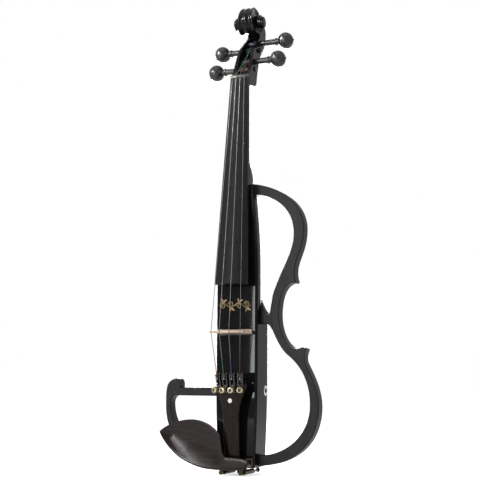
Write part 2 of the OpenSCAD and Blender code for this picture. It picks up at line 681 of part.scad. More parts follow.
module tuner_lever(i) color("#222223") hung() leaned() on_tuner(i) difference() {
    union() {
        translate([0, pivot_in, pivot_z]) rotate([0, 90, 0]) cylinder(h = lever_w, r = 2.3, center = true);
        across(lever_w) polygon([[-6.9, pivot_z + 1.2], [0, pivot_z + 1.8], [arm_in + 1.8, pivot_z + 1],
            [arm_in + 1.8, screw_z - 1.8], [arm_in, screw_z - 1.8], [arm_in, pivot_z - 1.7], [0,
                pivot_z - 1.7],
            [-6.6, pivot_z - 1.4]]);
    }
    translate([0, pivot_in, pivot_z]) rotate([0, 90, 0]) cylinder(h = 10, r = pivot_r + run, center = true);
    block([-0.7, 0.7], [3.2, 10], [pivot_z - 4, pivot_z + 4]);
}

module tuner_screw(i) color("#c79a3b") hung() leaned() on_tuner(i) {
    rod(0, screw_z, screw_r, 0.1 - arm_in, head_h + 0.4);
    translate([0, -head_h, screw_z]) rotate([90, 0, 0]) rotate_extrude() polygon([[0, 0], [2.2, 0],
        [tuner_head_r, 0.9],
        [tuner_head_r, 4.4], [tuner_head_r - 0.7, 5.2], [0, 5.5]]);
}

module tuner_body_g() tuner_body(G);
module tuner_body_d() tuner_body(D);
module tuner_body_a() tuner_body(A);
module tuner_body_e() tuner_body(E);
module tuner_lever_g() tuner_lever(G);
module tuner_lever_d() tuner_lever(D);
module tuner_lever_a() tuner_lever(A);
module tuner_lever_e() tuner_lever(E);
module tuner_screw_g() tuner_screw(G);
module tuner_screw_d() tuner_screw(D);
module tuner_screw_a() tuner_screw(A);
module tuner_screw_e() tuner_screw(E);

// Frames: half outlines in width and height, from the shoulder down

ub = upper_bout / 2;
wb = waist_bout / 2;
lb = lower_bout / 2;
arm_top = body_len + 14.5;
heel_side = heel_w / 2 + seat;
body_side = body_w / 2 + fit;
arm_low = 2.3;
arm_high = arm_low + band_w - 0.3;
low_side = body_half(arm_high) + fit;

lower_outer = [[lb, 75], [lb, 30], [low_side + 46, arm_low + 1.7], [low_side, arm_low]];
function lower_inner(w) = [[lb - w + 1, 78], [lb - w + 1, 42], [low_side + 37, arm_high + 1.5],
    [low_side, arm_high]];

outer_spans = [
    [[heel_side, arm_top], [heel_side + 27, arm_top - 3.5], [ub, 335], [ub, 294.8]],
    [[ub, 294.8], [ub, 270], [ub - 11.5, 257], [ub - 12.4, 244]],
    [[ub - 12.4, 244], [ub - 13, 238], [ub - 12.3, 233], [ub - 10.5, 229]],
    [[ub - 10.5, 229], [ub - 11, 228], [ub - 11.5, 227.4], [ub - 12.2, 227]],
    [[ub - 12.2, 227], [wb + 6.8, 228.5], [wb, 210], [wb, 188]],
    [[wb, 188], [wb, 161], [wb + 16, 139], [lb - 21.3, 147.8]],
    [[lb - 21.3, 147.8], [lb - 19.6, 147.4], [lb - 17.6, 146.4], [lb - 16, 145.3]],
    [[lb - 16, 145.3], [lb - 18.3, 140], [lb - 19.2, 136], [lb - 18.3, 131]],
    [[lb - 18.3, 131], [lb - 16.2, 123], [lb, 102], [lb, 75]],
    lower_outer];
lower_loop = [[[wb - 17, step_z - 1], [wb - 8.5, step_z - 1], [wb - 5.2, 153], [lb - 42, 139]],
    [[lb - 42, 139], [lb - 25.5, 127], [lb - band_w + 1, 108], [lb - band_w + 1, 78]], lower_inner(band_w)];
upper_loop = [[[heel_side + 9, body_len], [heel_side + 32, body_len - 4], [ub - band_w - 1.2, 321],
               [ub - band_w - 1.2, 290]],
    [[ub - band_w - 1.2, 290], [ub - band_w - 1.2, 265], [wb + 4, 249], [wb - 8.4, 214]],
    [[wb - 8.4, 214], [wb - 11, 204], [wb - 10.9, step_z + 12], [wb - 13.5, step_z + 11]],
    [[wb - 13.5, step_z + 11], [wb - 19, step_z + 9], [body_side + 1.4, step_z + 20], [body_side + 0.8,
        step_z + 34]]];

module outline_frame() color("#2a2a2b") hung() difference() {
    treble_arms();
    fin_slope();
    frame_screw_lines(run);
}

// The fin over the middle arm slopes forward to a point
module fin_slope() intersection() {
    block([body_side - 1, body_side + 6], [frame_back - 1, frame_front + 1], [step_z + 6, step_z + 40]);
    across(4 * body_w) polygon([[-frame_back + 1, step_z + 7.6], [-frame_front - 1, step_z + 31.4],
        [-frame_front - 1, step_z + 40], [-frame_back + 1, step_z + 40]]);
}

module treble_arms() {
    forward(frame_back, frame_front) polygon(concat(
        chain(outer_spans, 9), [[low_side, arm_low], [low_side, arm_high]],
        [for (p = back(chain(lower_loop, 9))) p], [[body_side, step_z - 1], [body_side, step_z + 34]],
        back(chain(upper_loop, 9)), [[heel_side, body_len + fit]]));
    tenon_at(1, lower_tenon_z, 0);
    tenon_at(1, middle_tenon_z, 0);
}

// The bass frame turns in at its top and runs back to the body in a bar
bar_z = [bar_tenon_z - 5.2, bar_tenon_z + 5.2];
curl_spans = [[[lb, 75], [lb, 82], [lb + 0.6, 92], [lb - 2, 100]], [[lb - 2, 100], [lb - 4.5, 105.5],
    [lb - 10, 108.5], [lb - 16, 108.3]], [[lb - 16, 108.3], [lb - 20, 108.2], [lb - 21, 103], [lb - 19.5,
        bar_z[1]]]];
inner_turn = [[lb - 16, bar_z[0]], [lb - 11, bar_z[0]], [lb - bass_band_w, bar_z[0] - 2.5],
    [lb - bass_band_w + 1, 78]];

module chin_frame() color("#2a2a2b") hung() difference() {
    bass_arms();
    frame_screw_lines(run);
}

module bass_arms() {
    forward(frame_back, frame_front) polygon(flip(concat(
        back(chain([lower_outer], 12)), chain(curl_spans, 6),
        [[lb - 19.5, bar_z[1]], [body_side, bar_z[1]], [body_side, bar_z[0]]], chain([inner_turn], 6),
        chain([lower_inner(bass_band_w)], 12), [[low_side, arm_high], [low_side, arm_low]])));
    tenon_at(-1, lower_tenon_z, 0);
    tenon_at(-1, bar_tenon_z, 0);
}

// Wood screws from the back into the lower and middle tenons
frame_screw_r = 1.6;
frame_screw_head = 3;
function tenon_screw_x(z) = body_half(z) - tenon_len / 2;
tenon_screws = [[1, lower_tenon_z], [-1, lower_tenon_z], [1, middle_tenon_z]];

module frame_screw_lines(gap) {
    for (t = tenon_screws) {
        x = t[0] * tenon_screw_x(t[1]);
        rod(x, t[1], frame_screw_r + gap, body_back(t[1]), tenon_mid + 2);
        rod(x, t[1], frame_screw_head + gap, body_back(t[1]) - 4 * sign(gap), body_back(t[1]) + 2);
    }
}

module frame_screws() color("#8f9296") hung() frame_screw_lines(0);

// Chinrest and its clamp

rest_top = [[[-96, 43], [-84, 52], [-67, 58.6], [-49.5, 58.6]], [[-49.5, 58.6], [-34, 58.6], [-20, 52],
    [-13, 42]],
            [[-13, 42], [-8.5, 35], [-10.5, 14.5], [-3, 14]], [[-3, 14], [9, 13.4], [22, 14.5], [26.8, 8.6]]];
rest_low = [[[-96, 43], [-93, 36], [-80, 17], [-62, 8.8]], [[-62, 8.8], [-50, 3], [-37, -1], [-24, -1.4]],
            [[-24, -1.4], [-15, -1.8], [-6, -2], [2, -2]], [[2, -2], [14, -2], [26.8, 1.6], [26.8, 8.6]]];
rest_steps = 8;
rest_across = 8;
foot_x = [13.6, 22.6];
foot_z = [2.4, 11.5];
cork_t = 2;

function rest_edge(spans, t) = let (k = min(3, floor(t))) bezier(spans[k], t - k);
function dish_part(t) = ease(t / 0.8) * ease((2.9 - t) / 1.2);
function rest_ring(t) =
    let (a = rest_edge(rest_low, t), b = rest_edge(rest_top, t), rim = body_d + rest_h,
         n = rest_across,
         upper = [for (i = [n:-1:0]) let (v = i / n, q = mix(a, b, v), s = 1 - pow(2 * v - 1, 2))
             [q[0], -(rim - rest_dish * dish_part(t) * s), q[1]]],
         lower = [for (i = [0:n]) let (v = i / n, q = mix(a, b, 0.06 + 0.88 * v), s = 1 - pow(2 * v - 1, 2))
             [q[0], -(rim - 2.4 - (rest_t - 2.4 + (rest_dish + 1) * dish_part(t)) * s), q[1]]])
    concat(upper, lower);

module chinrest() color("#1d1817") hung() {
    loft([for (i = [0:4 * rest_steps]) rest_ring(0.08 + (3.94 - 0.08) * i / (4 * rest_steps))]);
    for (s = [-1, 1]) block(s > 0 ? foot_x : [-foot_x[1], -foot_x[0]], [body_d + cork_t,
        body_d + rest_h - rest_t + 1.2], foot_z);
}

module chinrest_corks() color("#a9794d") hung() for (s = [-1, 1])
    block(s > 0 ? foot_x : [-foot_x[1], -foot_x[0]], [body_d, body_d + cork_t], foot_z);

clamp_x = clamp_pitch / 2;
clamp_z = -5;
stud_r = 1.5;
barrel_r = 3.2;
ear_r = 2.8;
clamp_w = clamp_pitch + 5;
bracket_d = body_d + rest_h - 9;
foot_d = -2.7;

// A plate between the studs, with a round ear at each
module clamp_plate(d, z) {
    block([-clamp_w / 2, clamp_w / 2], [d, d + 1.5], z);
    for (s = [-1, 1]) {
        rod(s * clamp_x, clamp_z, ear_r, d, d + 1.5);
        block([s * clamp_x - 1.8, s * clamp_x + 1.8], [d, d + 1.5], [clamp_z, z[0] + 1]);
    }
}

module clamp_bracket() color("#b98d3f") hung() {
    clamp_plate(bracket_d, [-1.6, 1.8]);
    for (s = [-1, 1]) rod(s * clamp_x, clamp_z, stud_r, body_d - 7, bracket_d + 0.5);
}

module clamp_foot() color("#b98d3f") hung() {
    clamp_plate(foot_d, [1, 9]);
    for (s = [-1, 1]) rod(s * clamp_x, clamp_z, stud_r, foot_d + 1, body_d - 12);
}

module clamp_cork() color("#a9794d") hung() block([-clamp_w / 2, clamp_w / 2], [foot_d + 1.5, 0], [2.4, 9]);

module clamp_barrel(s) color("#b98d3f") hung() difference() {
    rod(s * clamp_x, clamp_z, barrel_r, body_d - 24, body_d + 6);
    rod(s * clamp_x, clamp_z, stud_r + run, -10, body_d + 20);
    translate([s * clamp_x, 9 - body_d, clamp_z]) cylinder(h = 20, r = 0.9, center = true);
}
module clamp_barrel_left() clamp_barrel(-1);
module clamp_barrel_right() clamp_barrel(1);

// Compartment in the back

door_x = 15;
door_z = [33, 88];
hinge_r = 0.6;
knob_z = [114, 136];
knob_r = 7.5;
spindle_r = 3;
board_t = 1.6;
board_z = [knob_z[0] - 10, cavity_z[1] - 5];
board_d = cavity_d - 0.2 - board_t;
pot_r = 6;
switch_x = [-13.5, -6.5];
switch_z = [94, 103];
slider_x = [-11.6, -8.4];
slider_z = [95.4, 97.8];
slider_travel = 3.6;
battery_w = 26.5;
battery_t = 17.5;
battery_z = [door_z[0] + 3, door_z[1] - 6];

module cover_screw(x, z, gap) {
    rod(x, z, 1.4 + gap, gap > 0 ? -1 : 0.2, 11.5);
    rod(x, z, 2.6 + gap, gap > 0 ? -1 : 0.2, 1.4);
}

module back_cover() color("#131314") hung() difference() {
    block([-cover_w / 2, cover_w / 2], [0, cover_t], cover_z);
    block([-door_x - seat, door_x + seat], [-1, cover_t + 1], [door_z[0] - 0.5, door_z[1] + seat]);
    translate([0, -cover_t / 2, door_z[0] + 1.2]) rotate([0, 90, 0])
        cylinder(h = 2 * door_x + 4, r = hinge_r + run, center = true);
    for (z = knob_z) rod(0, z, spindle_r + 0.4, -1, cover_t + 1);
    block([slider_x[0] - seat, slider_x[1] + seat], [-1, cover_t + 1], [slider_z[0] - seat,
        slider_z[1] + slider_travel + seat]);
    for (s = [-1, 1], z = cover_screw_z) cover_screw(s * cover_screw_x, z, run);
}

module cover_screws() color("#8f9296") hung()
    for (s = [-1, 1], z = cover_screw_z) cover_screw(s * cover_screw_x, z, 0);

module battery_door() color("#131314") hung() {
    block([-door_x, door_x], [0.1, cover_t - 0.1], [door_z[0] + 1.2, door_z[1]]);
    translate([0, -cover_t / 2, door_z[0] + 1.2]) rotate([0, 90, 0]) {
        cylinder(h = 2 * door_x, r = cover_t / 2 - 0.1, center = true);
        cylinder(h = 2 * door_x + 3, r = hinge_r, center = true);
    }
}

module battery() color("#3d4a57") hung() {
    back_d = cover_t + 0.5;
    block([-battery_w / 2, battery_w / 2], [back_d, back_d + battery_t], battery_z);
    for (s = [-1, 1]) translate([s * battery_w * 0.24, -back_d - battery_t / 2, battery_z[1]])
        cylinder(h = 2.6, r = 3.6);
}

module preamp_board() color("#1e5b3a") hung()
    block([1.2 - cavity_w / 2, cavity_w / 2 - 1.2], [board_d, board_d + board_t], board_z);

module pots() color("#9a9da0") hung() for (z = knob_z) difference() {
    rod(0, z, pot_r, board_d - 10, board_d);
    rod(0, z, spindle_r + run, board_d - 11, board_d - 4);
}

module spindle(z) color("#b5b7ba") hung() rod(0, z, spindle_r, -6, board_d - 4.4);
module volume_spindle() spindle(knob_z[0]);
module tone_spindle() spindle(knob_z[1]);

module knob(z) color("#101011") hung() translate([0, 0, z]) rotate([-90, 0, 0]) difference() {
    rotate_extrude() polygon([[0, 0.6], [knob_r, 0.6], [knob_r - 0.5, 8], [knob_r - 1.5, 9], [0, 9]]);
    cylinder(h = 6.2, r = spindle_r + 0.02);
    for (a = [0:20:340]) rotate([0, 0, a]) translate([knob_r + 0.35, 0, 2]) cylinder(h = 10, r = 0.8,
        $fn = 16);
}
module volume_knob() knob(knob_z[0]);
module tone_knob() knob(knob_z[1]);

module switch_housing() color("#77797c") hung() difference() {
    block(switch_x, [cover_t + 0.1, cover_t + 6], switch_z);
    block([slider_x[0] - seat, slider_x[1] + seat], [0, cover_t + 4.5], [slider_z[0] - seat,
        slider_z[1] + slider_travel + seat]);
}

module power_switch() color("#1a1a1a") hung() block(slider_x, [-2, cover_t + 4.2], slider_z);

module output_jack() color("#c5c7ca") hung() translate([0, -jack_d, jack_z]) rotate([0, 90, 0]) difference() {
    union() {
        translate([0, 0, 4]) cylinder(h = cavity_w / 2 - 4.1, r = 5);
        cylinder(h = body_half(jack_z) - seat, r = jack_thread_r);
    }
    translate([0, 0, 7]) cylinder(h = body_w, r = jack_bore_r);
    translate([0, 0, -1]) cylinder(h = 5, r = 10);
}

module jack_nut() color("#c5c7ca") hung()
    translate([body_half(jack_z) - jack_recess + 0.1, -jack_d, jack_z]) rotate([0, 90, 0]) difference() {
        cylinder(h = 2.2, r = jack_recess_r - 0.6);
        translate([0, 0, -1]) cylinder(h = 5, r = jack_thread_r + run);
    }

module headphone_jack() color("#c5c7ca") hung() translate([0, -phone_d, phone_z]) rotate([0, -90, 0])
    difference() {
    union() {
        translate([0, 0, 8]) cylinder(h = cavity_w / 2 - 8.1, r = 4);
        translate([0, 0, 8]) cylinder(h = body_w / 2 - 7.2, r = phone_thread_r);
    }
    translate([0, 0, 10]) cylinder(h = body_w, r = phone_bore_r);
}

body_core();
neck();
fingerboard();
nut();
saddle();
bridge();
piezo_pickup();
pickup_lead();
string_g();
string_d();
string_a();
string_e();
peg_g();
peg_d_node();  // peg_d
peg_a();
peg_e();
tailpiece();
tailpiece_eye();
tailgut();
end_button();
tuner_body_g();
tuner_body_d();
tuner_body_a();
tuner_body_e();
tuner_lever_g();
tuner_lever_d();
tuner_lever_a();
tuner_lever_e();
tuner_screw_g();
tuner_screw_d();
tuner_screw_a();
tuner_screw_e();
outline_frame();
chin_frame();
frame_screws();
chinrest();
chinrest_corks();
clamp_bracket();
clamp_foot();
clamp_cork();
clamp_barrel_left();
clamp_barrel_right();
back_cover();
cover_screws();
battery_door();
battery();
preamp_board();
pots();
volume_spindle();
tone_spindle();
volume_knob();
tone_knob();
switch_housing();
power_switch();
output_jack();
jack_nut();
headphone_jack();
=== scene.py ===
import math
import bpy
import bmesh
import numpy as np
from mathutils import Matrix, Vector


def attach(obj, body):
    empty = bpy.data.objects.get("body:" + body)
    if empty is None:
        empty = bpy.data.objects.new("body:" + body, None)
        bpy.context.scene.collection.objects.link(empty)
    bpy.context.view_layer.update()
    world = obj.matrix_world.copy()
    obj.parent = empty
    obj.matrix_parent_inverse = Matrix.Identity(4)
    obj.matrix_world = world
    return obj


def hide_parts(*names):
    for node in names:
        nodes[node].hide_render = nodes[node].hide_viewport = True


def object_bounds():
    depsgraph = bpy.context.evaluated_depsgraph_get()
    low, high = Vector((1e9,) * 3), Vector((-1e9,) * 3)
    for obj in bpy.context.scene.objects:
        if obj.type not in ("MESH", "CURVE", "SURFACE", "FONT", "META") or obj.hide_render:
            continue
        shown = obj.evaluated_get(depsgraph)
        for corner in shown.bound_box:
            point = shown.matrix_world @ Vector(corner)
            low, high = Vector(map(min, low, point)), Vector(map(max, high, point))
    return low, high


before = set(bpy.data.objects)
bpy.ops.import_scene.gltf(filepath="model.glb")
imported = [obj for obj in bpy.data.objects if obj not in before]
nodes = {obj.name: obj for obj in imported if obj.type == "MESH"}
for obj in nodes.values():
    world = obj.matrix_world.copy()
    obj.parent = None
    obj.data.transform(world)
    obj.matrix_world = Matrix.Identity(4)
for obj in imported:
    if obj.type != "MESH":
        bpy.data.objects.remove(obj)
cadBox = [list(c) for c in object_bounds()]
print("frame loaded,", len(nodes), "nodes")

# bench sizes in mm: x to the treble side, depth forward from the back, height from the bottom of the body
hang = {"depth": 12.0, "height": 556.0}


# metres in the frame, whose origin is at hang and whose second axis points back
def bench(x, depth, height):
    x, depth, height = np.broadcast_arrays(np.asarray(x, float), depth, height)
    return np.stack([x, hang["depth"] - depth, height - hang["height"]], -1) / 1000


join = np.concatenate


# evenly spaced angles from degrees
def sweep(start, stop, count):
    return np.radians(np.linspace(start, stop, count))


# a plus the share t of the way to b
def mix(a, b, t):
    return a + (b - a) * t


# three t squared less two t cubed, held at 0 and 1
def ease(t):
    t = np.clip(t, 0, 1)
    return t * t * (3 - 2 * t)


# drop of an arc at x from its crown: r less the root of r squared less x squared
def sag(r, x):
    return r - np.sqrt(r * r - x * x)


# n points of a line, or of a cubic that weighs its handles by powers of t and 1 - t, without the last
def stretch(handles, n, start=0.0, stop=1.0):
    p = np.asarray(handles, float)
    t = np.linspace(start, stop, n + 1)[:-1, None]
    if len(p) == 2:
        return mix(p[0], p[1], t)
    u = 1 - t
    return u ** 3 * p[0] + 3 * u * u * t * p[1] + 3 * u * t * t * p[2] + t ** 3 * p[3]


# handles in a row as cubics, each starting where the last one ends
def cubics(handles):
    return [handles[i:i + 4] for i in range(0, len(handles) - 1, 3)]


# n points to each cubic of a row
def chain(handles, n):
    return join([stretch(h, n) for h in cubics(handles)])


# corners of every cell in a grid of points, the last column joined to the first if wrapped
def gridQuads(rows, cols, wrap=False):
    i = np.arange(rows - 1)[:, None]
    j = np.arange(cols if wrap else cols - 1)[None, :]
    k = (j + 1) % cols
    return np.stack([i * cols + j, i * cols + k, (i + 1) * cols + k, (i + 1) * cols + j], -1).reshape(-1, 4)


# rings of points closed into a skin, each end closed by a fan round its middle
def closedLoft(rings):
    rows, cols, _ = rings.shape
    verts = join([rings.reshape(-1, 3), rings[:1].mean(1), rings[-1:].mean(1)])
    j = np.arange(cols)
    k = (j + 1) % cols
    low = np.stack([np.full(cols, rows * cols), k, j], -1)
    top = np.stack([np.full(cols, rows * cols + 1), (rows - 1) * cols + j, (rows - 1) * cols + k], -1)
    return verts, [gridQuads(rows, cols, True), low, top]


# rings of points closed into a skin, each end one flat face, which may be hollow in outline
def flatLoft(rings):
    rows, cols, _ = rings.shape
    j = np.arange(cols)
    return rings.reshape(-1, 3), [gridQuads(rows, cols, True), j[None, ::-1], ((rows - 1) * cols + j)[None]]


# open surface patch
def patch(points):
    rows, cols, _ = points.shape
    return points.reshape(-1, 3), [gridQuads(rows, cols)]


# box between two corners given as x, depth and height spans
def boxShape(x, depth, height):
    roundX, roundD = [x[0], x[1], x[1], x[0]], [depth[0], depth[0], depth[1], depth[1]]
    return flatLoft(np.stack([bench(roundX, roundD, h) for h in height]))


# profile turned round an axis: from start the length along the axis, and the radius times the cosine of the turn
# along side and its sine along the third direction
def turned(profile, start, axis, side, count, ripple=None):
    axis, side = np.array([axis, side], float)
    other = np.cross(axis, side)
    a = np.linspace(0, 2 * np.pi, count, endpoint=False)
    r = np.repeat(profile[:, :1], count, 1)
    if ripple:
        r = r + ripple(profile[:, :1], profile[:, 1:], a[None])
    ring = np.cos(a)[:, None] * side + np.sin(a)[:, None] * other
    return closedLoft(start + profile[:, 1][:, None, None] * axis + r[..., None] * ring)


# round tube: a ring about each point of a path, square to the path's direction there
def tubeAlong(path, radii, sides):
    t = np.gradient(path, axis=0)
    t /= np.linalg.norm(t, axis=1)[:, None]
    ref = np.where(np.abs(t[:, :1]) > 0.8, [[0.0, 0.0, 1.0]], [[1.0, 0.0, 0.0]])
    u = ref - (ref * t).sum(1)[:, None] * t
    u /= np.linalg.norm(u, axis=1)[:, None]
    v = np.cross(t, u)
    a = np.linspace(0, 2 * np.pi, sides, endpoint=False)
    ring = np.cos(a)[None, :, None] * u[:, None] + np.sin(a)[None, :, None] * v[:, None]
    return closedLoft(path[:, None] + radii[:, None, None] * ring)


# an object at the origin, linked to the scene
def addObject(name, data):
    obj = bpy.data.objects.new(name, data)
    bpy.context.scene.collection.objects.link(obj)
    return obj


# one mesh of several shapes, doubles merged and faces turned outwards
def meshOf(name, shapes):
    verts, faces, start = [], [], 0
    for v, groups in shapes:
        verts.append(v)
        faces += [f for g in groups for f in (np.asarray(g) + start).tolist()]
        start += len(v)
    mesh = bpy.data.meshes.new(name)
    mesh.from_pydata(join(verts).tolist(), [], faces)
    bm = bmesh.new()
    bm.from_mesh(mesh)
    bmesh.ops.remove_doubles(bm, verts=bm.verts, dist=1e-6)
    bmesh.ops.recalc_face_normals(bm, faces=bm.faces)
    bm.to_mesh(mesh)
    bm.free()
    return mesh


# smooth shading up to edges sharper than some degrees
def smooth(mesh, sharp):
    mesh.polygons.foreach_set("use_smooth", np.ones(len(mesh.polygons), bool))
    mesh.set_sharp_from_angle(angle=math.radians(sharp))


# turns an object's modifiers into its mesh
def bakeModifiers(obj):
    shaped = bpy.data.meshes.new_from_object(obj.evaluated_get(bpy.context.evaluated_depsgraph_get()))
    obj.modifiers.clear()
    old, obj.data = obj.data, shaped
    bpy.data.meshes.remove(old)


# takes shapes out of an object one after another
def carve(obj, tools):
    for shape in tools:
        tool = addObject("tool", meshOf("tool", [shape]))
        cut = obj.modifiers.new("cut", "BOOLEAN")
        cut.operation, cut.solver, cut.object = "DIFFERENCE", "EXACT", tool
        bakeModifiers(obj)
        bpy.data.objects.remove(tool)


# bevels edges sharper than limit degrees, width in mm
def easeEdges(obj, width, segments, limit):
    edge = obj.modifiers.new("edge", "BEVEL")
    edge.width, edge.segments = width / 1000, segments
    edge.limit_method, edge.angle_limit = "ANGLE", math.radians(limit)
    bakeModifiers(obj)


# normals weighted by face size, so flats stay flat beside eased edges
def levelNormals(obj):
    level = obj.modifiers.new("level", "WEIGHTED_NORMAL")
    level.keep_sharp = True
    bakeModifiers(obj)


# says what a piece rides on and which CAD nodes it stands for, hiding those
def settle(obj, body, stands):
    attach(obj, body)
    if stands:
        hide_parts(*stands)
    return obj


# a new piece: shapes joined, carved, bevelled in mm and smoothed
def makePiece(name, shapes, material, body="violin", stands=(), sharp=38, tools=(), bevel=None,
              even=False):
    obj = addObject(name, meshOf(name, shapes))
    obj.data.materials.append(material)
    carve(obj, tools)
    if bevel:
        easeEdges(obj, bevel, segments=3, limit=32)
    smooth(obj.data, sharp)
    if even:
        levelNormals(obj)
    return settle(obj, body, stands)


# one finish over a whole object
def coat(obj, material):
    obj.data.materials.clear()
    obj.data.materials.append(material)


# a CAD node's own shape with its edges eased, under the node's name in camel case
def easedCopy(node, material, edge, body="violin", sharp=30):
    first, *rest = node.split("_")
    obj = addObject(first + "".join(word.title() for word in rest), nodes[node].data.copy())
    bm = bmesh.new()
    bm.from_mesh(obj.data)
    bmesh.ops.remove_doubles(bm, verts=bm.verts, dist=2e-6)
    bmesh.ops.dissolve_limit(bm, angle_limit=math.radians(0.6), verts=bm.verts, edges=bm.edges)
    bm.to_mesh(obj.data)
    bm.free()
    coat(obj, material)
    if edge:
        easeEdges(obj, edge, segments=2, limit=35)
    smooth(obj.data, sharp)
    levelNormals(obj)
    settle(obj, body, (node,))


# finishes

# links a node's inputs to sockets, or sets them to values
def wire(tree, node, inputs):
    for key, value in inputs.items():
        if isinstance(value, bpy.types.NodeSocket):
            tree.links.new(value, node.inputs[key])
        else:
            node.inputs[key].default_value = value
    return node


# a new node with its inputs wired
def addNode(tree, kind, inputs):
    return wire(tree, tree.nodes.new("ShaderNode" + kind), inputs)


# a finish with its node tree and shader
def newFinish(name):
    m = bpy.data.materials.new(name)
    m.use_nodes = True
    return m, m.node_tree, m.node_tree.nodes["Principled BSDF"]


# noise on object coordinates with one or three scales per metre
def grain(tree, scales, detail=3.0):
    scales = scales if isinstance(scales, tuple) else (scales,) * 3
    coords = addNode(tree, "TexCoord", {}).outputs["Object"]
    mapped = addNode(tree, "Mapping", {"Vector": coords, "Scale": scales}).outputs["Vector"]
    noise = {"Vector": mapped, "Scale": 1.0, "Detail": detail, "Roughness": 0.55}
    return addNode(tree, "TexNoise", noise).outputs["Fac"]


# colours blended between stops along a noise
def ramp(tree, source, stops):
    r = addNode(tree, "ValToRGB", {"Fac": source})
    ends = r.color_ramp.elements
    for end, (at, colour) in zip(ends, (stops[0], stops[-1])):
        end.position, end.color = at, (*colour, 1)
    for at, colour in stops[1:-1]:
        ends.new(at).color = (*colour, 1)
    return r.outputs["Color"]


# spreads the middle of a noise over low to high
def spread(tree, source, low, high):
    limits = {"From Min": 0.3, "From Max": 0.7, "To Min": low, "To Max": high}
    return addNode(tree, "MapRange", {"Value": source, **limits}).outputs["Result"]


# colour from one noise, roughness from a second and a fine bump from a third
def surface(name, stops, scales, rough, roughScales=900, bumpScales=None, strength=0.1, distance=2e-5, metallic=0.0,
            clear=0.0, detail=4.0, specular=0.5):
    m, tree, shader = newFinish(name)
    wire(tree, shader, {"Base Color": ramp(tree, grain(tree, scales, detail), stops),
                        "Roughness": spread(tree, grain(tree, roughScales), *rough), "Metallic": metallic,
                        "Coat Weight": clear, "Coat Roughness": 0.05, "Specular IOR Level": specular})
    if bumpScales:
        relief = {"Height": grain(tree, bumpScales), "Strength": strength, "Distance": distance}
        wire(tree, shader, {"Normal": addNode(tree, "Bump", relief).outputs["Normal"]})
    return m


# a grey, its red up and its blue down by the warmth
def grey(v, warm=0.0):
    return (v * (1 + warm), v, v * (1 - warm))


lacquer = surface("lacquer", [(0.3, grey(0.0025)), (0.7, grey(0.0042))], 60, (0.02, 0.035),
                  bumpScales=(190, 190, 40), strength=0.01, specular=0.07)
satinBlack = surface("satinBlack", [(0.35, grey(0.008)), (0.65, grey(0.0115))], 90, (0.4, 0.5),
                     bumpScales=3200, strength=0.14, distance=1.5e-5, specular=0.08)
boardWood = surface("boardWood", [(0.3, grey(0.003)), (0.55, grey(0.005)), (0.75, grey(0.0085))],
                    (900, 900, 22), (0.42, 0.54), (1200, 1200, 40), (1600, 1600, 50), 0.18, 3e-5, specular=0.07)
nutWood = surface("nutWood", [(0.3, grey(0.006, 0.08)), (0.7, grey(0.012, 0.1))], (700, 120, 700), (0.3, 0.42),
                  bumpScales=(1600, 300, 1600), strength=0.12, specular=0.35)
maple = surface("maple", [(0.32, (0.22, 0.145, 0.092)), (0.5, (0.3, 0.222, 0.16)), (0.68, (0.37, 0.29, 0.225))],
                (70, 900, 500), (0.36, 0.5), bumpScales=(140, 1800, 900), strength=0.18, distance=3e-5, detail=6)
tailWood = surface("tailWood", [(0.3, (0.003, 0.0014, 0.0012)), (0.52, (0.006, 0.0028, 0.0021)),
                                (0.72, (0.014, 0.006, 0.0042))], (420, 420, 13), (0.03, 0.05), (900, 900, 40),
                   (1300, 1300, 45), 0.01, detail=6, specular=0.08)
restWood = surface("restWood", [(0.3, (0.0022, 0.0013, 0.0012)), (0.55, (0.0058, 0.0028, 0.0024)),
                                (0.75, (0.018, 0.0078, 0.0064))], (26, 320, 320), (0.19, 0.25), (60, 700, 700),
                   (60, 1100, 1100), 0.02, detail=6, specular=0.16)
pegWood = surface("pegWood", [(0.3, grey(0.0035)), (0.6, grey(0.0055)), (0.75, grey(0.0095))], (40, 500, 500),
                  (0.3, 0.38), bumpScales=(60, 1500, 1500), strength=0.03, specular=0.3)
brassGold = surface("brassGold", [(0.3, (0.33, 0.26, 0.14)), (0.7, (0.48, 0.39, 0.23))], 400,
                    (0.2, 0.34), 2500, 2500, 0.06, 1e-5, metallic=1.0)
darkMetal = surface("darkMetal", [(0.3, grey(0.006)), (0.7, grey(0.013))], 500, (0.22, 0.34),
                    bumpScales=3000, strength=0.08, distance=1e-5, specular=0.45)
clampBronze = surface("clampBronze", [(0.3, (0.016, 0.012, 0.006)), (0.7, (0.034, 0.025, 0.013))], 300,
                      (0.22, 0.34), 2000, 2500, 0.06, 1e-5, metallic=1.0)
steel = surface("steel", [(0.3, grey(0.24)), (0.7, grey(0.36))], 900, (0.25, 0.4), metallic=1.0)
stringSteel = surface("stringSteel", [(0.3, grey(0.075)), (0.7, grey(0.15))], (300, 300, 2600), (0.22, 0.36),
                      bumpScales=(400, 400, 5200), strength=0.3, distance=3e-5, metallic=1.0)
nickel = surface("nickel", [(0.3, grey(0.5)), (0.7, grey(0.66))], 300, (0.14, 0.26), metallic=1.0)
mouldedBlack = surface("mouldedBlack", [(0.3, grey(0.016)), (0.7, grey(0.024))], 200, (0.42, 0.55),
                       bumpScales=2600, strength=0.3, distance=3e-5, specular=0.4)
cork = surface("cork", [(0.3, (0.03, 0.016, 0.008)), (0.5, (0.075, 0.042, 0.021)), (0.7, (0.12, 0.07, 0.036))],
               1500, (0.75, 0.9), bumpScales=1800, strength=0.5, distance=1e-4)
gutBlack = surface("gutBlack", [(0.3, grey(0.008)), (0.7, grey(0.014))], 600, (0.3, 0.42), specular=0.4)
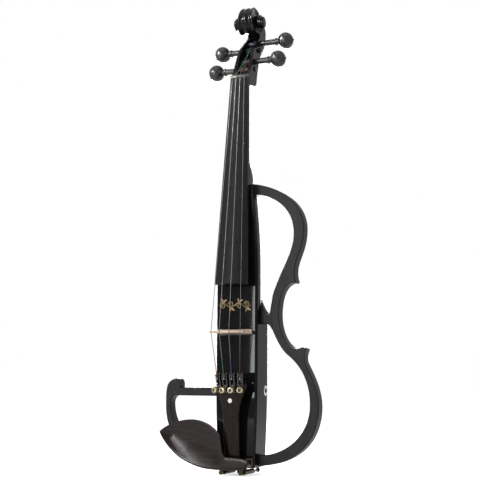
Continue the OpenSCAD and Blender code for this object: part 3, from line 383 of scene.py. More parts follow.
boardGreen = surface("boardGreen", [(0.42, (0.008, 0.06, 0.026)), (0.5, (0.02, 0.13, 0.055))], (260, 260, 40),
                     (0.25, 0.35), detail=1)
cellCase = surface("cellCase", [(0.48, (0.02, 0.022, 0.026)), (0.52, (0.035, 0.05, 0.075))], (1, 1, 30),
                   (0.25, 0.35), detail=1)
pearl = surface("pearl", [(0.25, (0.3, 0.34, 0.32)), (0.5, (0.45, 0.46, 0.44)), (0.75, (0.47, 0.41, 0.42))],
                420, (0.1, 0.18), clear=0.6, detail=2)
goldLeaf = surface("goldLeaf", [(0.3, (0.05, 0.036, 0.018)), (0.7, (0.11, 0.082, 0.044))], 700,
                   (0.3, 0.46), 1800, metallic=1.0)
silkColours = {"g": (0.13, 0.085, 0.015), "d": (0.01, 0.07, 0.025), "a": (0.03, 0.02, 0.09),
               "e": (0.1, 0.01, 0.024)}
silkShade = 0.6
silks = {s: surface("silk" + s.upper(), [(0.3, tuple(silkShade * v for v in c)), (0.7, c)], (600, 600, 5000),
                    (0.5, 0.65), bumpScales=(600, 600, 6000), strength=0.4, distance=4e-5)
         for s, c in silkColours.items()}


# finish for CAD nodes that show as they are
def paint(material, *names):
    for name in names:
        coat(nodes[name], material)


strings = "gdae"
paint(steel, "frame_screws", "cover_screws", "pots", "volume_spindle", "tone_spindle", "switch_housing")
paint(gutBlack, "pickup_lead")
paint(mouldedBlack, "piezo_pickup")
paint(cork, "chinrest_corks", "clamp_cork")
paint(nickel, "output_jack", "jack_nut", "headphone_jack")
paint(boardGreen, "preamp_board")
paint(cellCase, "battery")
print("finishes done")

# body: four corner arcs joined by straights, their width and depth carried up the height
bodySizes = {"length": 341.0, "width": 56.0, "endWidth": 49.5, "topWidth": 44.0, "endTaper": 110.0, "topTaper": 240.0,
             "depth": 38.0, "upperDepth": 24.0, "step": 178.0, "stepLong": 26.0, "frontRound": 3.0, "backRound": 5.0,
             "upperRound": 15.0, "endRound": 2.0, "topRound": 1.2}
# hollows as x, depth and height spans; bores as x span or side, place and radius
pocketSizes = {"boxes": (((-21.65, 21.65), (-1, 2.4), (25.85, 154.15)), ((-17, 17), (2.3, 24), (30, 150)),
                         ((-22.15, 22.15), (36.4, 39), (162.75, 169.25)), ((-12.15, 12.15), (33, 39), (-1, 6.15))),
               "jackAt": (7.6, 94.0), "recessDeep": 3.0, "recessEnd": 36.0, "recess": 7.0, "jackRun": (8, 32),
               "jack": 4.85, "phonesAt": (9.0, 142.0), "phonesRun": (-36, -8), "phones": 3.55,
               "screwsAt": ((1, 8.75), (-1, 8.75), (1, 184)), "screwEdge": 3.5, "screwDeep": 2.0, "screw": 3.05}


# half width: full in the middle, less the square of the way into each end's taper
def bodyHalf(z):
    s = bodySizes
    low = np.maximum(0, 1 - z / s["endTaper"])
    high = np.maximum(0, (z - s["topTaper"]) / (s["length"] - s["topTaper"]))
    return (s["width"] / 2 - (s["width"] - s["endWidth"]) / 2 * low ** 2
            - (s["width"] - s["topWidth"]) / 2 * high ** 2)


# depth of the back, eased over the step by what the upper body lacks
def bodyBack(z):
    s = bodySizes
    return (s["depth"] - s["upperDepth"]) * ease((z - s["step"]) / s["stepLong"])


# quarter circles at the corners, the back ones growing over the step
def bodyRings(z, inset, count=14):
    s = bodySizes
    z, inset = z[:, None], inset[:, None]
    w, f, b = bodyHalf(z) - inset, s["depth"] - inset, bodyBack(z) + inset
    rf = np.full_like(z, s["frontRound"])
    rb = mix(s["backRound"], s["upperRound"], ease((z - s["step"]) / s["stepLong"]))
    a = sweep(0, 90, count)[None]
    quarter = lambda cx, cd, r, turn: (cx + r * np.cos(a + turn), cd - r * np.sin(a + turn))
    arcs = [quarter(w - rf, f - rf, rf, -np.pi / 2), quarter(w - rb, b + rb, rb, 0),
            quarter(rb - w, b + rb, rb, np.pi / 2), quarter(rf - w, f - rf, rf, np.pi)]
    return bench(join([p[0] for p in arcs], 1), join([p[1] for p in arcs], 1), z)


# a circle carried across the body
def crossRod(x, depth, height, r):
    ends = np.array([(r, 0), (r, x[1] - x[0])]) / 1000
    return turned(ends, bench(x[0], depth, height), (1, 0, 0), (0, 0, 1), 48)


# a circle carried forward through the body
def frontRod(x, depth, height, r):
    ends = np.array([(r, 0), (r, depth[1] - depth[0])]) / 1000
    return turned(ends, bench(x, depth[0], height), (0, -1, 0), (1, 0, 0), 32)


# rings up the height, each end rounded by a quarter circle and the step in the back finely cut
def bodyShape():
    s, turn = bodySizes, sweep(0, 90, 7)
    above = s["step"] + s["stepLong"]
    plain = join([np.linspace(8, s["step"] - 2, 22), np.linspace(s["step"], above, 27),
                  np.linspace(above + 8, s["length"] - 5, 20)])
    heights = [s["endRound"] * (1 - np.cos(turn)), plain, s["length"] - s["topRound"] * (1 - np.sin(turn))]
    insets = [s["endRound"] * (1 - np.sin(turn)), 0 * plain, s["topRound"] * (1 - np.cos(turn))]
    return flatLoft(bodyRings(join(heights), join(insets)))


# boxes, then rods for jacks and screw heads, set in from the body's sides
def bodyPockets():
    s = pocketSizes
    recess = (bodyHalf(s["jackAt"][1]) - s["recessDeep"], s["recessEnd"])
    rods = [(recess, s["jackAt"], s["recess"]), (s["jackRun"], s["jackAt"], s["jack"]),
            (s["phonesRun"], s["phonesAt"], s["phones"])]
    deep = s["screwDeep"]
    heads = [frontRod(side * (bodyHalf(z) - s["screwEdge"]), (-deep, bodyBack(z) + deep), z, s["screw"])
             for side, z in s["screwsAt"]]
    return [boxShape(*b) for b in s["boxes"]] + [crossRod(x, *at, r) for x, at, r in rods] + heads


makePiece("bodyShell", [bodyShape()], lacquer, stands=("body_core",), sharp=28, tools=bodyPockets(), even=True)
print("body done")

# neck: half superellipses under the glue line, from the heel up to the nut
boardSizes = {"nut": 494.0, "length": 270.0, "nutWidth": 24.0, "endWidth": 44.5, "edge": 4.5, "radius": 42.0,
              "glueAtNut": 30.6, "rise": 21.9, "hollow": 42.6, "hollowBehind": 40.0, "hollowTop": 335.0,
              "hollowRun": 3.0, "lowInset": 0.25, "brow": 0.18, "sideSteps": (0.5, 2.2, 3.9)}
neckSizes = {"nutThick": 13.0, "heelThick": 15.5, "heelWidth": 30.0, "heelDeep": 31.0, "heelTop": 386.0,
             "heelCurve": 24.0, "boardLip": 0.3, "glue": 0.05, "shaftPower": 2.2, "heelPower": 4.0}
nutHeight, glueAtNut = boardSizes["nut"], boardSizes["glueAtNut"]


# depth of the board's underside, rising evenly from the nut
def glueLine(z):
    return glueAtNut + boardSizes["rise"] / boardSizes["length"] * (nutHeight - z)


# half the board's width, growing evenly from the nut
def boardHalf(z):
    return mix(boardSizes["nutWidth"], boardSizes["endWidth"], (nutHeight - z) / boardSizes["length"]) / 2


# half width times the cosine and thickness times the sine, both to a power that falls into the heel
def neckRings(z, count=48):
    s = neckSizes
    z = z[:, None]
    h = ease((s["heelTop"] - z) / s["heelCurve"])
    run = (nutHeight - z) / (nutHeight - s["heelTop"])
    t = mix(mix(s["nutThick"], s["heelThick"], run), s["heelDeep"], h)
    w = mix(boardHalf(z) - s["boardLip"], s["heelWidth"] / 2, h)
    p = 2 / mix(s["shaftPower"], s["heelPower"], h)
    a = sweep(0, 180, count + 1)[None]
    x = w * np.sign(np.cos(a)) * np.abs(np.cos(a)) ** p
    return bench(x, glueLine(z) - s["glue"] - t * np.abs(np.sin(a)) ** p, z)


# pegbox: a side profile in depth and height from the nut, as wide at each height as the cheeks
headSizes = {"boxWide": [(-10, 12.3), (20, 12.3), (58, 9.6), (94, 6.8)], "channel": 15.0}


# the profile at both sides, out to half or to the cheeks
def headShape(profile, half):
    d, z = profile.T
    half = np.interp(z, *zip(*headSizes["boxWide"])) if half is None else half
    return flatLoft(np.stack([bench(side * half, glueAtNut + d, nutHeight + z) for side in (-1, 1)]))


boxFront = chain([(0, 5.5), (-9, 14), (-11.5, 36), (-23, 48), (-29.5, 53.8), (-38, 60), (-43.3, 66.5)], 20)
boxBack = chain([(-12.6, -8), (-19.5, -7.5), (-25, -6.5), (-25.5, 3), (-27.5, 14), (-31, 25), (-37, 34.5), (-43.5, 44),
                 (-55.5, 52), (-60.5, 63), (-63.5, 69.5), (-66.5, 76), (-65, 81.5), (-63.8, 86), (-58.5, 90),
                 (-52.5, 92.5)], 14)[::-1]
boxProfile = join([boxFront, [(-43.3, 66.5), (-43.6, 70), (-42, 78), (-46, 90)], boxBack, [(-0.05, -8)]])
channelFloor = chain([(-22, 6.5), (-25.5, 20), (-28, 30), (-38, 39.5), (-42.2, 43.5), (-48.6, 52.5), (-49.6, 60.5)],
                     16)[::-1]
channelProfile = join([channelFloor, [(10, 6.5), (10, 20), (-20, 58), (-36, 63.5), (-46, 63.5)]])
neckHeights = join([[341, 341.4, 342.5], np.linspace(345, 390, 34), np.linspace(394, 487, 30)])
makePiece("neckShaft", [flatLoft(neckRings(neckHeights))], lacquer, stands=("neck",), sharp=40)
makePiece("pegbox", [headShape(boxProfile, None)], lacquer, sharp=32,
          tools=[headShape(channelProfile, headSizes["channel"] / 2)], bevel=0.8, even=True)

# scroll: a spiral whose radius shrinks by the same share each turn while it stands out wider;
# across it run a fluted band, a rounded edge, a dished ledge and the wall up to the next turn
scrollSizes = {"up": 82.0, "behind": 30.1, "start": -25.0, "turns": 1.75, "radius": 26.0, "eye": 7.2, "neck": 6.8,
               "wide": 40.0, "widenFrom": 80.0, "widenPower": 0.8, "flute": 1.5, "fullFlute": 12.0, "edge": 0.7,
               "dish": 1.1, "fullDish": 6.0, "overlap": 0.4, "eyeCrown": 0.9, "steps": 230}


# radius falls as an exponential of the turn, width grows as a power of it
def scrollHalf(side):
    s = scrollSizes
    last = s["start"] + 360 * s["turns"]
    a = np.linspace(s["start"], last, s["steps"])[:, None]
    radius = lambda t: s["radius"] * np.exp(np.log(s["eye"] / s["radius"]) * t / last)
    widened = lambda t: np.maximum(0, (t - s["widenFrom"]) / (last - s["widenFrom"])) ** s["widenPower"]
    wide = lambda t: mix(s["neck"], s["wide"] / 2, widened(t))
    r, w, e = radius(a), wide(a), s["edge"]
    outermost, innermost = a - 360 < s["start"], a + 360 > last
    inner = np.where(innermost, s["eye"], radius(np.minimum(a + 360, last)))
    foot = np.where(outermost, 0, wide(a - 360) - s["overlap"])
    flute = np.where(outermost, s["flute"] * np.minimum(1, w / s["fullFlute"]), 0)
    v = np.linspace(0, 1, 17)[None]
    bandX, bandR = mix(foot, w - e, v), r - flute * np.sin(np.pi * v) ** 2
    t = sweep(15, 75, 4)[None]
    edgeX, edgeR = w - e + e * np.sin(t), r - e + e * np.cos(t)
    u = np.linspace(0, 1, 9)[None]
    ledgeR = mix(r - e, np.minimum(inner, r - e), u)
    ledgeX = w - s["dish"] * np.sin(np.pi * u) * np.clip((r - inner) / s["fullDish"], 0, 1)
    top = np.where(innermost, s["wide"] / 2, w)
    wallX, wallR = mix(w, top, np.linspace(0.2, 1, 4)[None]), np.repeat(inner, 4, 1)
    q = np.linspace(0.2, 1, 6)[None]
    eyeX = top + np.where(innermost, s["eyeCrown"], 0) * np.sin(q * np.pi / 2)
    eyeR = np.where(innermost, s["eye"] * np.cos(q * np.pi / 2), inner)
    x = side * join([bandX, edgeX, ledgeX, wallX, eyeX], 1)
    rr = join([bandR, edgeR, ledgeR, wallR, eyeR], 1)
    a = np.radians(a)
    return patch(bench(x, glueAtNut - s["behind"] - rr * np.cos(a), nutHeight + s["up"] + rr * np.sin(a)))


makePiece("scroll", [scrollHalf(1), scrollHalf(-1)], lacquer, sharp=50)
print("neck and head done")


# fingerboard: an arch of one radius over a widening plan, with stepped sides; under its free end a wider arch,
# less how far its axis lies behind, is hollowed out
def boardRings(z):
    s, brow = boardSizes, boardSizes["brow"]
    z = z[:, None]
    w = boardHalf(z)
    u = np.linspace(-1, 1, 41)[None]
    x = w * u
    top = s["edge"] + sag(s["radius"], w) - sag(s["radius"], x)
    lowX = (w - s["lowInset"]) * -u
    deep = ease((s["hollowTop"] - z) / s["hollowRun"])
    low = deep * np.maximum(0, np.sqrt(s["hollow"] ** 2 - lowX ** 2) - s["hollowBehind"])
    side = s["edge"] - np.array([s["sideSteps"]])
    flip = side[:, ::-1]
    ringX = join([x[:, :1] + brow, x[:, 1:-1], x[:, -1:] - brow, w + 0 * side, lowX, -w + 0 * flip], 1)
    ringH = join([top, side + 0 * z, low, flip + 0 * z], 1)
    return bench(ringX, glueLine(z) + ringH, z + ringH * s["rise"] / s["length"])


boardHeights = join([[224.9, 225.0, 225.3], np.linspace(227, 331, 40), np.linspace(332, 336, 9),
                     np.linspace(340, 493.5, 40)])
makePiece("fingerboard", [flatLoft(boardRings(boardHeights))], boardWood, stands=("fingerboard",), sharp=35,
          even=True)

# inlay on the body front: ribbons with a low crown, as wide at each point as the stem, curl or leaf is there
vineSizes = {"middle": (-2.5, 200.4), "reach": 22.0, "period": 22.0, "wave": 2.9, "stem": 0.5, "curl": 3.9,
             "curlTurns": 1.35, "curlEnd": 0.8, "curlTip": 0.75, "curlDrop": 1.2, "low": 37.97, "crown": 38.1,
             "leaves": ((1, 6.2, 3.9, 1.4), (-1, 1.4, 5.6, 1.2)), "leafTip": 0.1, "leafBow": 1.6, "leafSkew": 0.85,
             "stemFade": (1.3, 30.0), "stemLimits": (0.4, 1.2)}


# points to both sides of a path along its normal, the inner two on the crown
def ribbon(x, z, half):
    s = vineSizes
    run = np.hypot(np.gradient(x), np.gradient(z))
    nx, nz = -np.gradient(z) / run, np.gradient(x) / run
    side = np.array([[-1, -0.5, 0.5, 1]]) * half[:, None]
    depth = np.array([[s["low"], s["crown"], s["crown"], s["low"]]])
    x, z = x[:, None] + s["middle"][0] + side * nx[:, None], z[:, None] + s["middle"][1] + side * nz[:, None]
    return flatLoft(bench(x, depth, z))


# a wavy stem; inside each wave a curl that winds in evenly, outside it two leaves that swell as a sine
def waveShapes(middle, side):
    s, u = vineSizes, np.linspace(0, 1, 44)
    a = np.pi - side * 2 * np.pi * s["curlTurns"] * u
    r = mix(s["curl"], s["curlEnd"], u)
    half = mix(s["stem"], s["curlTip"], u ** 3)
    shapes = [ribbon(middle + r * np.cos(a), side * (r * np.sin(a) - s["curlDrop"]), half)]
    v = np.linspace(0, 1, 15)
    for way, long, high, wide in s["leaves"]:
        rise = s["wave"] + high * v * mix(s["leafBow"], 1, v)
        half = s["leafTip"] + wide * np.sin(np.pi * v ** s["leafSkew"])
        shapes.append(ribbon(middle + way * long * v, side * rise, half))
    return shapes


stemRun = np.linspace(-vineSizes["reach"], vineSizes["reach"], 120)
stemWave = vineSizes["wave"] * np.sin(2 * np.pi * (stemRun + vineSizes["reach"]) / vineSizes["period"])
most, fade = vineSizes["stemFade"]
stemHalves = vineSizes["stem"] * np.clip(most - np.abs(stemRun) / fade, *vineSizes["stemLimits"])
vineShapes = [ribbon(stemRun, stemWave, stemHalves)]
for i in range(4):
    vineShapes += waveShapes(vineSizes["period"] * (i / 2 - 0.75), 1 - 2 * (i % 2))
makePiece("bodyInlay", vineShapes, goldLeaf, sharp=20)
easedCopy("nut", nutWood, 0.2)
easedCopy("saddle", nutWood, 0.4)
easedCopy("bridge", maple, 0.3)
print("board and bridge done")

# frames: bands between an outer and an inner edge curve, as rounded boxes in cross section
frameSizes = {"front": 26.0, "back": 11.0, "roll": 1.6, "rollShare": 0.46, "upper": 85.7, "waist": 52.2,
              "lower": 104.7, "band": 13.0, "bassBand": 8.0, "bar": (86.8, 97.2), "finTop": 207.4, "finSlope": 1.4,
              "finThin": 0.5, "finFade": (8, 4), "heelSide": 15.3, "seam": 0.1, "armLow": 2.3, "armWide": 12.7,
              "armTop": 355.5, "shoulder": 341.0}


# section: quarter circles at the corners of a box as wide as the edges are apart; slope lifts its back forward by
# the height, from none at 0 to full at 1
def rolledBand(outer, inner, slope=None, count=6):
    s = frameSizes
    wide = np.linalg.norm(inner - outer, axis=1)[:, None]
    r = np.minimum(s["roll"], s["rollShare"] * wide)
    arc = lambda start, stop: sweep(start, stop, count)[None]
    corners = [(r, s["back"] + r, arc(270, 180)), (r, s["front"] - r, arc(180, 90)),
               (wide - r, s["front"] - r, arc(90, 0)), (wide - r, s["back"] + r, arc(0, -90))]
    across = np.linspace(0.9, 0.1, 12)[None] + 0 * wide
    along = join([c / wide + r / wide * np.cos(a) for c, d, a in corners] + [across], 1)
    depth = join([d + r * np.sin(a) for c, d, a in corners] + [s["back"] + 0 * across], 1)
    q = mix(outer[:, None], inner[:, None], along[..., None])
    if slope is not None:
        cutBack = s["front"] - s["finThin"] - (s["finTop"] - q[..., 1]) / s["finSlope"]
        depth = np.maximum(depth, mix(s["back"], cutBack, slope[:, None]))
    return flatLoft(bench(q[..., 0], depth, q[..., 1]))


# rows of count, outer span and its part, inner span and its part, to both edges point by point
def paired(rows):
    last = rows[-1]
    outer = [stretch(edge, n, *part) for n, edge, part, _, _ in rows] + [stretch(last[1], 1, last[2][1])]
    inner = [stretch(edge, n, *part) for n, _, _, edge, part in rows] + [stretch(last[3], 1, last[4][1])]
    return join(outer), join(inner)


ub, wb, lb, band, bassBand, bar = (frameSizes[k] for k in ("upper", "waist", "lower", "band", "bassBand", "bar"))
heelSide, armLow, armTop, shoulder = (frameSizes[k] for k in ("heelSide", "armLow", "armTop", "shoulder"))
step, bodySide = bodySizes["step"], bodySizes["width"] / 2 + frameSizes["seam"]
armHigh = armLow + frameSizes["armWide"]
lowSide = bodyHalf(armHigh) + frameSizes["seam"]
lowerOuter = [[lb, 75], [lb, 30], [lowSide + 46, armLow + 1.7], [lowSide, armLow]]


# inner edge beside lowerOuter for a band w wide
def lowerInner(w):
    return [[lb - w + 1, 78], [lb - w + 1, 42], [lowSide + 37, armHigh + 1.5], [lowSide, armHigh]]


outerSpans = cubics([
    [heelSide, armTop], [heelSide + 27, armTop - 3.5], [ub, 335], [ub, 294.8], [ub, 270], [ub - 11.5, 257],
    [ub - 12.4, 244], [ub - 13, 238], [ub - 12.3, 233], [ub - 10.5, 229], [ub - 11, 228], [ub - 11.5, 227.4],
    [ub - 12.2, 227], [wb + 6.8, 228.5], [wb, 210], [wb, 188], [wb, 161], [wb + 16, 139], [lb - 21.3, 147.8],
    [lb - 19.6, 147.4], [lb - 17.6, 146.4], [lb - 16, 145.3], [lb - 18.3, 140], [lb - 19.2, 136], [lb - 18.3, 131],
    [lb - 16.2, 123], [lb, 102], [lb, 75]]) + [lowerOuter]
lowerLoop = cubics([[wb - 17, step - 1], [wb - 8.5, step - 1], [wb - 5.2, 153], [lb - 42, 139], [lb - 25.5, 127],
                    [lb - band + 1, 108], [lb - band + 1, 78]]) + [lowerInner(band)]
upperLoop = cubics([
    [heelSide + 9, shoulder], [heelSide + 32, shoulder - 4], [ub - band - 1.2, 321], [ub - band - 1.2, 290],
    [ub - band - 1.2, 265], [wb + 4, 249], [wb - 8.4, 214], [wb - 11, 204], [wb - 10.9, step + 12],
    [wb - 13.5, step + 11], [wb - 19, step + 9], [bodySide + 1.4, step + 20], [bodySide + 0.8, step + 34]])
heelLine = [[heelSide, shoulder + 0.15], [heelSide + 9, shoulder]]
armLine = [stretch(upperLoop[2], 1, 0.55)[0], stretch(lowerLoop[0], 1, 0.35)[0]]
trebleBand = paired([
    (4, outerSpans[0], (0, 0.1), heelLine, (0, 1)), (30, outerSpans[0], (0.1, 1), upperLoop[0], (0, 1)),
    (24, outerSpans[1], (0, 1), upperLoop[1], (0, 0.62)), (12, outerSpans[2], (0, 1), upperLoop[1], (0.62, 0.78)),
    (5, outerSpans[3], (0, 1), upperLoop[1], (0.78, 0.8)), (14, outerSpans[4], (0, 0.5), upperLoop[1], (0.8, 1)),
    (12, outerSpans[4], (0.5, 1), upperLoop[2], (0, 0.55)), (8, outerSpans[5], (0, 0.3), armLine, (0, 1)),
    (18, outerSpans[5], (0.3, 1), lowerLoop[0], (0.35, 1)), (5, outerSpans[6], (0, 1), lowerLoop[1], (0, 0.04)),
    (10, outerSpans[7], (0, 1), lowerLoop[1], (0.04, 0.3)), (26, outerSpans[8], (0, 1), lowerLoop[1], (0.3, 1)),
    (40, outerSpans[9], (0, 1), lowerLoop[2], (0, 1))])
finEdge = stretch(upperLoop[3][::-1], 24)
rootEdge, rootLow = stretch(upperLoop[2][::-1], 10, 0, 0.7), stretch(lowerLoop[0], 10, 0, 0.4)
armTopEdge = join([[[bodySide, step + 34.2]], finEdge, rootEdge])
armTopEdge[:, 1] = np.minimum(armTopEdge[:, 1], frameSizes["finTop"])
finFrom, finRun = frameSizes["finFade"]
finRows = ease((bodySide + finFrom - armTopEdge[:, 0]) / finRun)
armLowEdge = join([[[bodySide, step - 1]],
                   np.stack([np.minimum(finEdge[:, 0], wb - 17), 0 * finEdge[:, 0] + step - 1], 1), rootLow])
curlSpans = cubics([[lb, 75], [lb, 82], [lb + 0.6, 92], [lb - 2, 100], [lb - 4.5, 105.5], [lb - 10, 108.5],
                    [lb - 16, 108.3], [lb - 20, 108.2], [lb - 21, 103], [lb - 19.5, bar[1]]])
innerTurn = [[lb - bassBand + 1, 78], [lb - bassBand, bar[0] - 2.5], [lb - 11, bar[0]], [lb - 16, bar[0]]]
bassBandEdges = paired([
    (40, lowerOuter[::-1], (0, 1), lowerInner(bassBand)[::-1], (0, 1)),
    (16, curlSpans[0], (0, 1), innerTurn, (0, 0.55)), (18, curlSpans[1], (0, 1), innerTurn, (0.55, 1)),
    (14, curlSpans[2], (0, 1), [[lb - 16, bar[0]], [lb - 19.5, bar[0]]], (0, 1)),
    (6, [[lb - 19.5, bar[1]], [bodySide, bar[1]]], (0, 1), [[lb - 19.5, bar[0]], [bodySide, bar[0]]], (0, 1))])
makePiece("outlineFrame", [rolledBand(*trebleBand), rolledBand(armTopEdge, armLowEdge, finRows)], satinBlack,
          stands=("outline_frame",), sharp=48, even=True)
makePiece("chinFrame", [rolledBand(bassBandEdges[0] * [-1, 1], bassBandEdges[1] * [-1, 1])], satinBlack,
          stands=("chin_frame",), sharp=48, even=True)
print("frames done")

# chinrest: a dished sheet between two edge curves, its rim rolled over and its foot blocks under it
restSizes = {"rim": 60.5, "rimThick": 2.4, "dish": 7.0, "thick": 4.5, "roll": 1.3, "lip": 0.9, "underInset": 1.6,
             "crowd": 0.18, "tips": (0.04, 3.985), "bowlEnd": 2.9, "dishEase": (0.8, 1.2), "bowlEase": (0.55, 2.3),
             "footX": (13.6, 22.6), "footDeep": (40.0, 57.2), "footZ": (2.4, 11.5)}
restTop = [[-96, 43], [-84, 52], [-67, 58.6], [-49.5, 58.6], [-34, 58.6], [-20, 52], [-13, 42], [-8.5, 35],
           [-10.5, 14.5], [-3, 14], [9, 13.4], [22, 14.5], [26.8, 8.6]]
restLow = [[-96, 43], [-93, 36], [-80, 17], [-62, 8.8], [-50, 3], [-37, -1], [-24, -1.4], [-15, -1.8], [-6, -2],
           [2, -2], [14, -2], [26.8, 1.6], [26.8, 8.6]]


# top: rim less the dish times one less the square across, less a roll that fades from the edge as an exponential
def restRings(steps=36):
    s = restSizes
    low, top = chain(restLow, steps), chain(restTop, steps)
    t = np.arange(4 * steps) / steps
    pick = (t > s["tips"][0]) & (t < s["tips"][1])
    low, top, t = low[pick][:, None], top[pick][:, None], t[pick][:, None]
    toEnd = s["bowlEnd"] - t
    dish, bowl = (ease(t / near) * ease(toEnd / far) for near, far in (s["dishEase"], s["bowlEase"]))
    gap = np.linalg.norm(top - low, axis=2)
    v = join([[0], 0.5 - 0.5 * np.cos(np.linspace(s["crowd"], np.pi - s["crowd"], 31)), [1]])[None]
    arch = 1 - (2 * v - 1) ** 2
    roll = s["roll"] * np.exp(-np.minimum(v, 1 - v) * gap / s["lip"])
    upper = s["rim"] - s["dish"] * bowl * arch - roll
    under = s["rim"] - s["rimThick"] - (s["thick"] - s["rimThick"] + (s["dish"] + 1) * dish) * arch
    inset = np.minimum(s["underInset"] / gap, 0.2)
    at = lambda q: mix(low, top, q[..., None])
    a, b = at(v)[:, ::-1], at(mix(inset, 1 - inset, v))
    x = join([a[..., 0], b[..., 0]], 1)
    return bench(x, join([upper[:, ::-1], under], 1), join([a[..., 1], b[..., 1]], 1))


makePiece("chinrest", [closedLoft(restRings())], restWood, stands=("chinrest",), sharp=60)
near, far = restSizes["footX"]
makePiece("chinrestFeet", [boxShape(across, restSizes["footDeep"], restSizes["footZ"])
                           for across in ((near, far), (-far, -near))],
          restWood, bevel=1.2, even=True)
print("chinrest done")

# pegs: a tapered shaft, a collar and a ball with a ring groove and a pip, as rows of radius and place from the
# ball's near end, from its middle in ball radii, and from its far end
pegSizes = {"up": (16, 46.5, 57.5, 27.5), "behind": (19.1, 37.6, 43.1, 23.1), "side": (-1, -1, 1, 1),
            "reach": (43.3, 43.2, 46.3, 43.5), "shaft": 3.7, "taper": 1 / 60, "boxHalf": 12.3, "tip": -13.8,
            "chamfer": 0.5, "knots": (-13.4, -12, 12), "shoulder": 4.0, "ball": 10.8, "flat": 0.5,
            "collar": ((4.4, -3.9), (4.9, -3.5), (5.0, -2.5), (4.8, -1.7), (4.3, -1.2)),
            "groove": ((0.735, 0.625), (0.7, 0.625), (0.69, 0.66)), "capWide": 0.945, "capFlat": 0.9,
            "pip": ((1.5, -0.95), (1.4, -0.3), (0.9, 0.05), (0.3, 0.1))}


# the shaft narrows by its taper, and the ball and its cap are arcs of flattened circles
def pegProfile(reach):
    s, r = pegSizes, pegSizes["ball"]
    shaft = lambda at: s["shaft"] + (at - s["boxHalf"]) * s["taper"]
    a, c = sweep(-66, 40, 30), sweep(46, 84, 14)
    return join([
        [(shaft(s["tip"]) - s["chamfer"], s["tip"])],
        [(shaft(at), at) for at in (*s["knots"], reach - r - s["shoulder"])],
        [(w, reach - r + at) for w, at in s["collar"]],
        np.stack([r * np.cos(a), reach - s["flat"] + (r - s["flat"]) * np.sin(a)], 1),
        [(r * w, reach + r * at) for w, at in s["groove"]],
        np.stack([r * s["capWide"] * np.cos(c), reach + (r - s["capFlat"]) * np.sin(c)], 1),
        [(w, reach + r + at) for w, at in s["pip"]]]) / 1000


for i, s in enumerate(strings):
    side = pegSizes["side"][i]
    centre = bench(0, glueAtNut - pegSizes["behind"][i], nutHeight + pegSizes["up"][i])
    shape = turned(pegProfile(pegSizes["reach"][i]), centre, (side, 0, 0), (0, 0, 1), 72)
    makePiece("peg" + s.upper(), [shape], pegWood, body="peg_" + s + "_body", stands=("peg_" + s,), sharp=42)
easedCopy("end_button", pegWood, 0.3)
print("pegs done")

# tailpiece: an arch over a plan that flares to the strings, leaning up from its lower end
tailSizes = {"low": 7.0, "length": 96.5, "width": 41.0, "stem": 20.6, "crown": 12.0, "radius": 48.0, "thick": 4.0,
             "lean": 4.5, "edge": 0.9, "edgeShare": 0.4, "pitch": 9.2, "endRise": 1.2, "riseLong": 6.0}
tailLow = tailSizes["low"]
tailTop = tailLow + tailSizes["length"]
tailHalf, stemHalf = tailSizes["width"] / 2, tailSizes["stem"] / 2
crownAxis = bodySizes["depth"] + tailSizes["crown"] - tailSizes["radius"]
leanCos, leanSin = (turn(math.radians(tailSizes["lean"])) for turn in (math.cos, math.sin))


# leaning turns points about the lower end, in depth and height
def leaned(x, depth, height):
    d, h = depth - bodySizes["depth"], height - tailLow
    return bench(x, bodySizes["depth"] + d * leanCos + h * leanSin, tailLow + h * leanCos - d * leanSin)


# point above the crown's axis on the ray of string i, with the ray's turn
def onCrown(i, radius, height):
    turn = math.asin((i - 1.5) * tailSizes["pitch"] / tailSizes["radius"])
    return turn, leaned(radius * math.sin(turn), crownAxis + radius * math.cos(turn), height)


tailPlan = join([
    chain([[0.6, tailLow], [stemHalf - 4, tailLow], [stemHalf, tailLow + 3], [stemHalf, tailLow + 9]], 14),
    np.stack([np.full(20, stemHalf), np.linspace(tailLow + 9, tailTop - 39.5, 20)], 1),
    chain([[stemHalf, tailTop - 39], [stemHalf + 1.3, tailTop - 21.5], [tailHalf - 3, tailTop - 11.5],
           [tailHalf, tailTop - 1.5]], 30),
    [[tailHalf, tailTop - 1.5], [tailHalf - 0.4, tailTop - 0.6], [tailHalf - 1.5, tailTop]]])


# outer and inner arcs joined by part ellipses at the edges; the string end bows by a square
def tailRings(plan):
    s = tailSizes
    w, z = plan[:, :1], plan[:, 1:]
    e = np.minimum(s["edge"], w * s["edgeShare"])
    u = np.linspace(-1, 1, 31)[None]
    x = (w - e) * u
    r, inner = s["radius"], s["radius"] - s["thick"]
    a = sweep(20, 160, 7)[None]
    rise = np.maximum(0, 1 - (tailTop - z) / s["riseLong"]) * s["endRise"]
    edgeTop = np.sqrt(r * r - (w - e) ** 2)
    edgeLow = np.sqrt(inner ** 2 - (w - e) ** 2)
    half = (edgeTop - edgeLow) / 2
    edgeX, edgeD = (w - e) + e * np.sin(a), (edgeTop + edgeLow) / 2 + half * np.cos(a)
    ringX = join([x, edgeX, -x, -edgeX[:, ::-1]], 1)
    ringD = join([np.sqrt(r * r - x * x), edgeD, np.sqrt(inner ** 2 - x * x), edgeD[:, ::-1]], 1)
    return leaned(ringX, crownAxis + ringD, z + rise * (1 - (ringX / tailHalf) ** 2))


makePiece("tailpiece", [closedLoft(tailRings(tailPlan))], tailWood, stands=("tailpiece",), sharp=40)
easedCopy("tailpiece_eye", pearl, 0.15)
easedCopy("tailgut", gutBlack, 0, sharp=60)
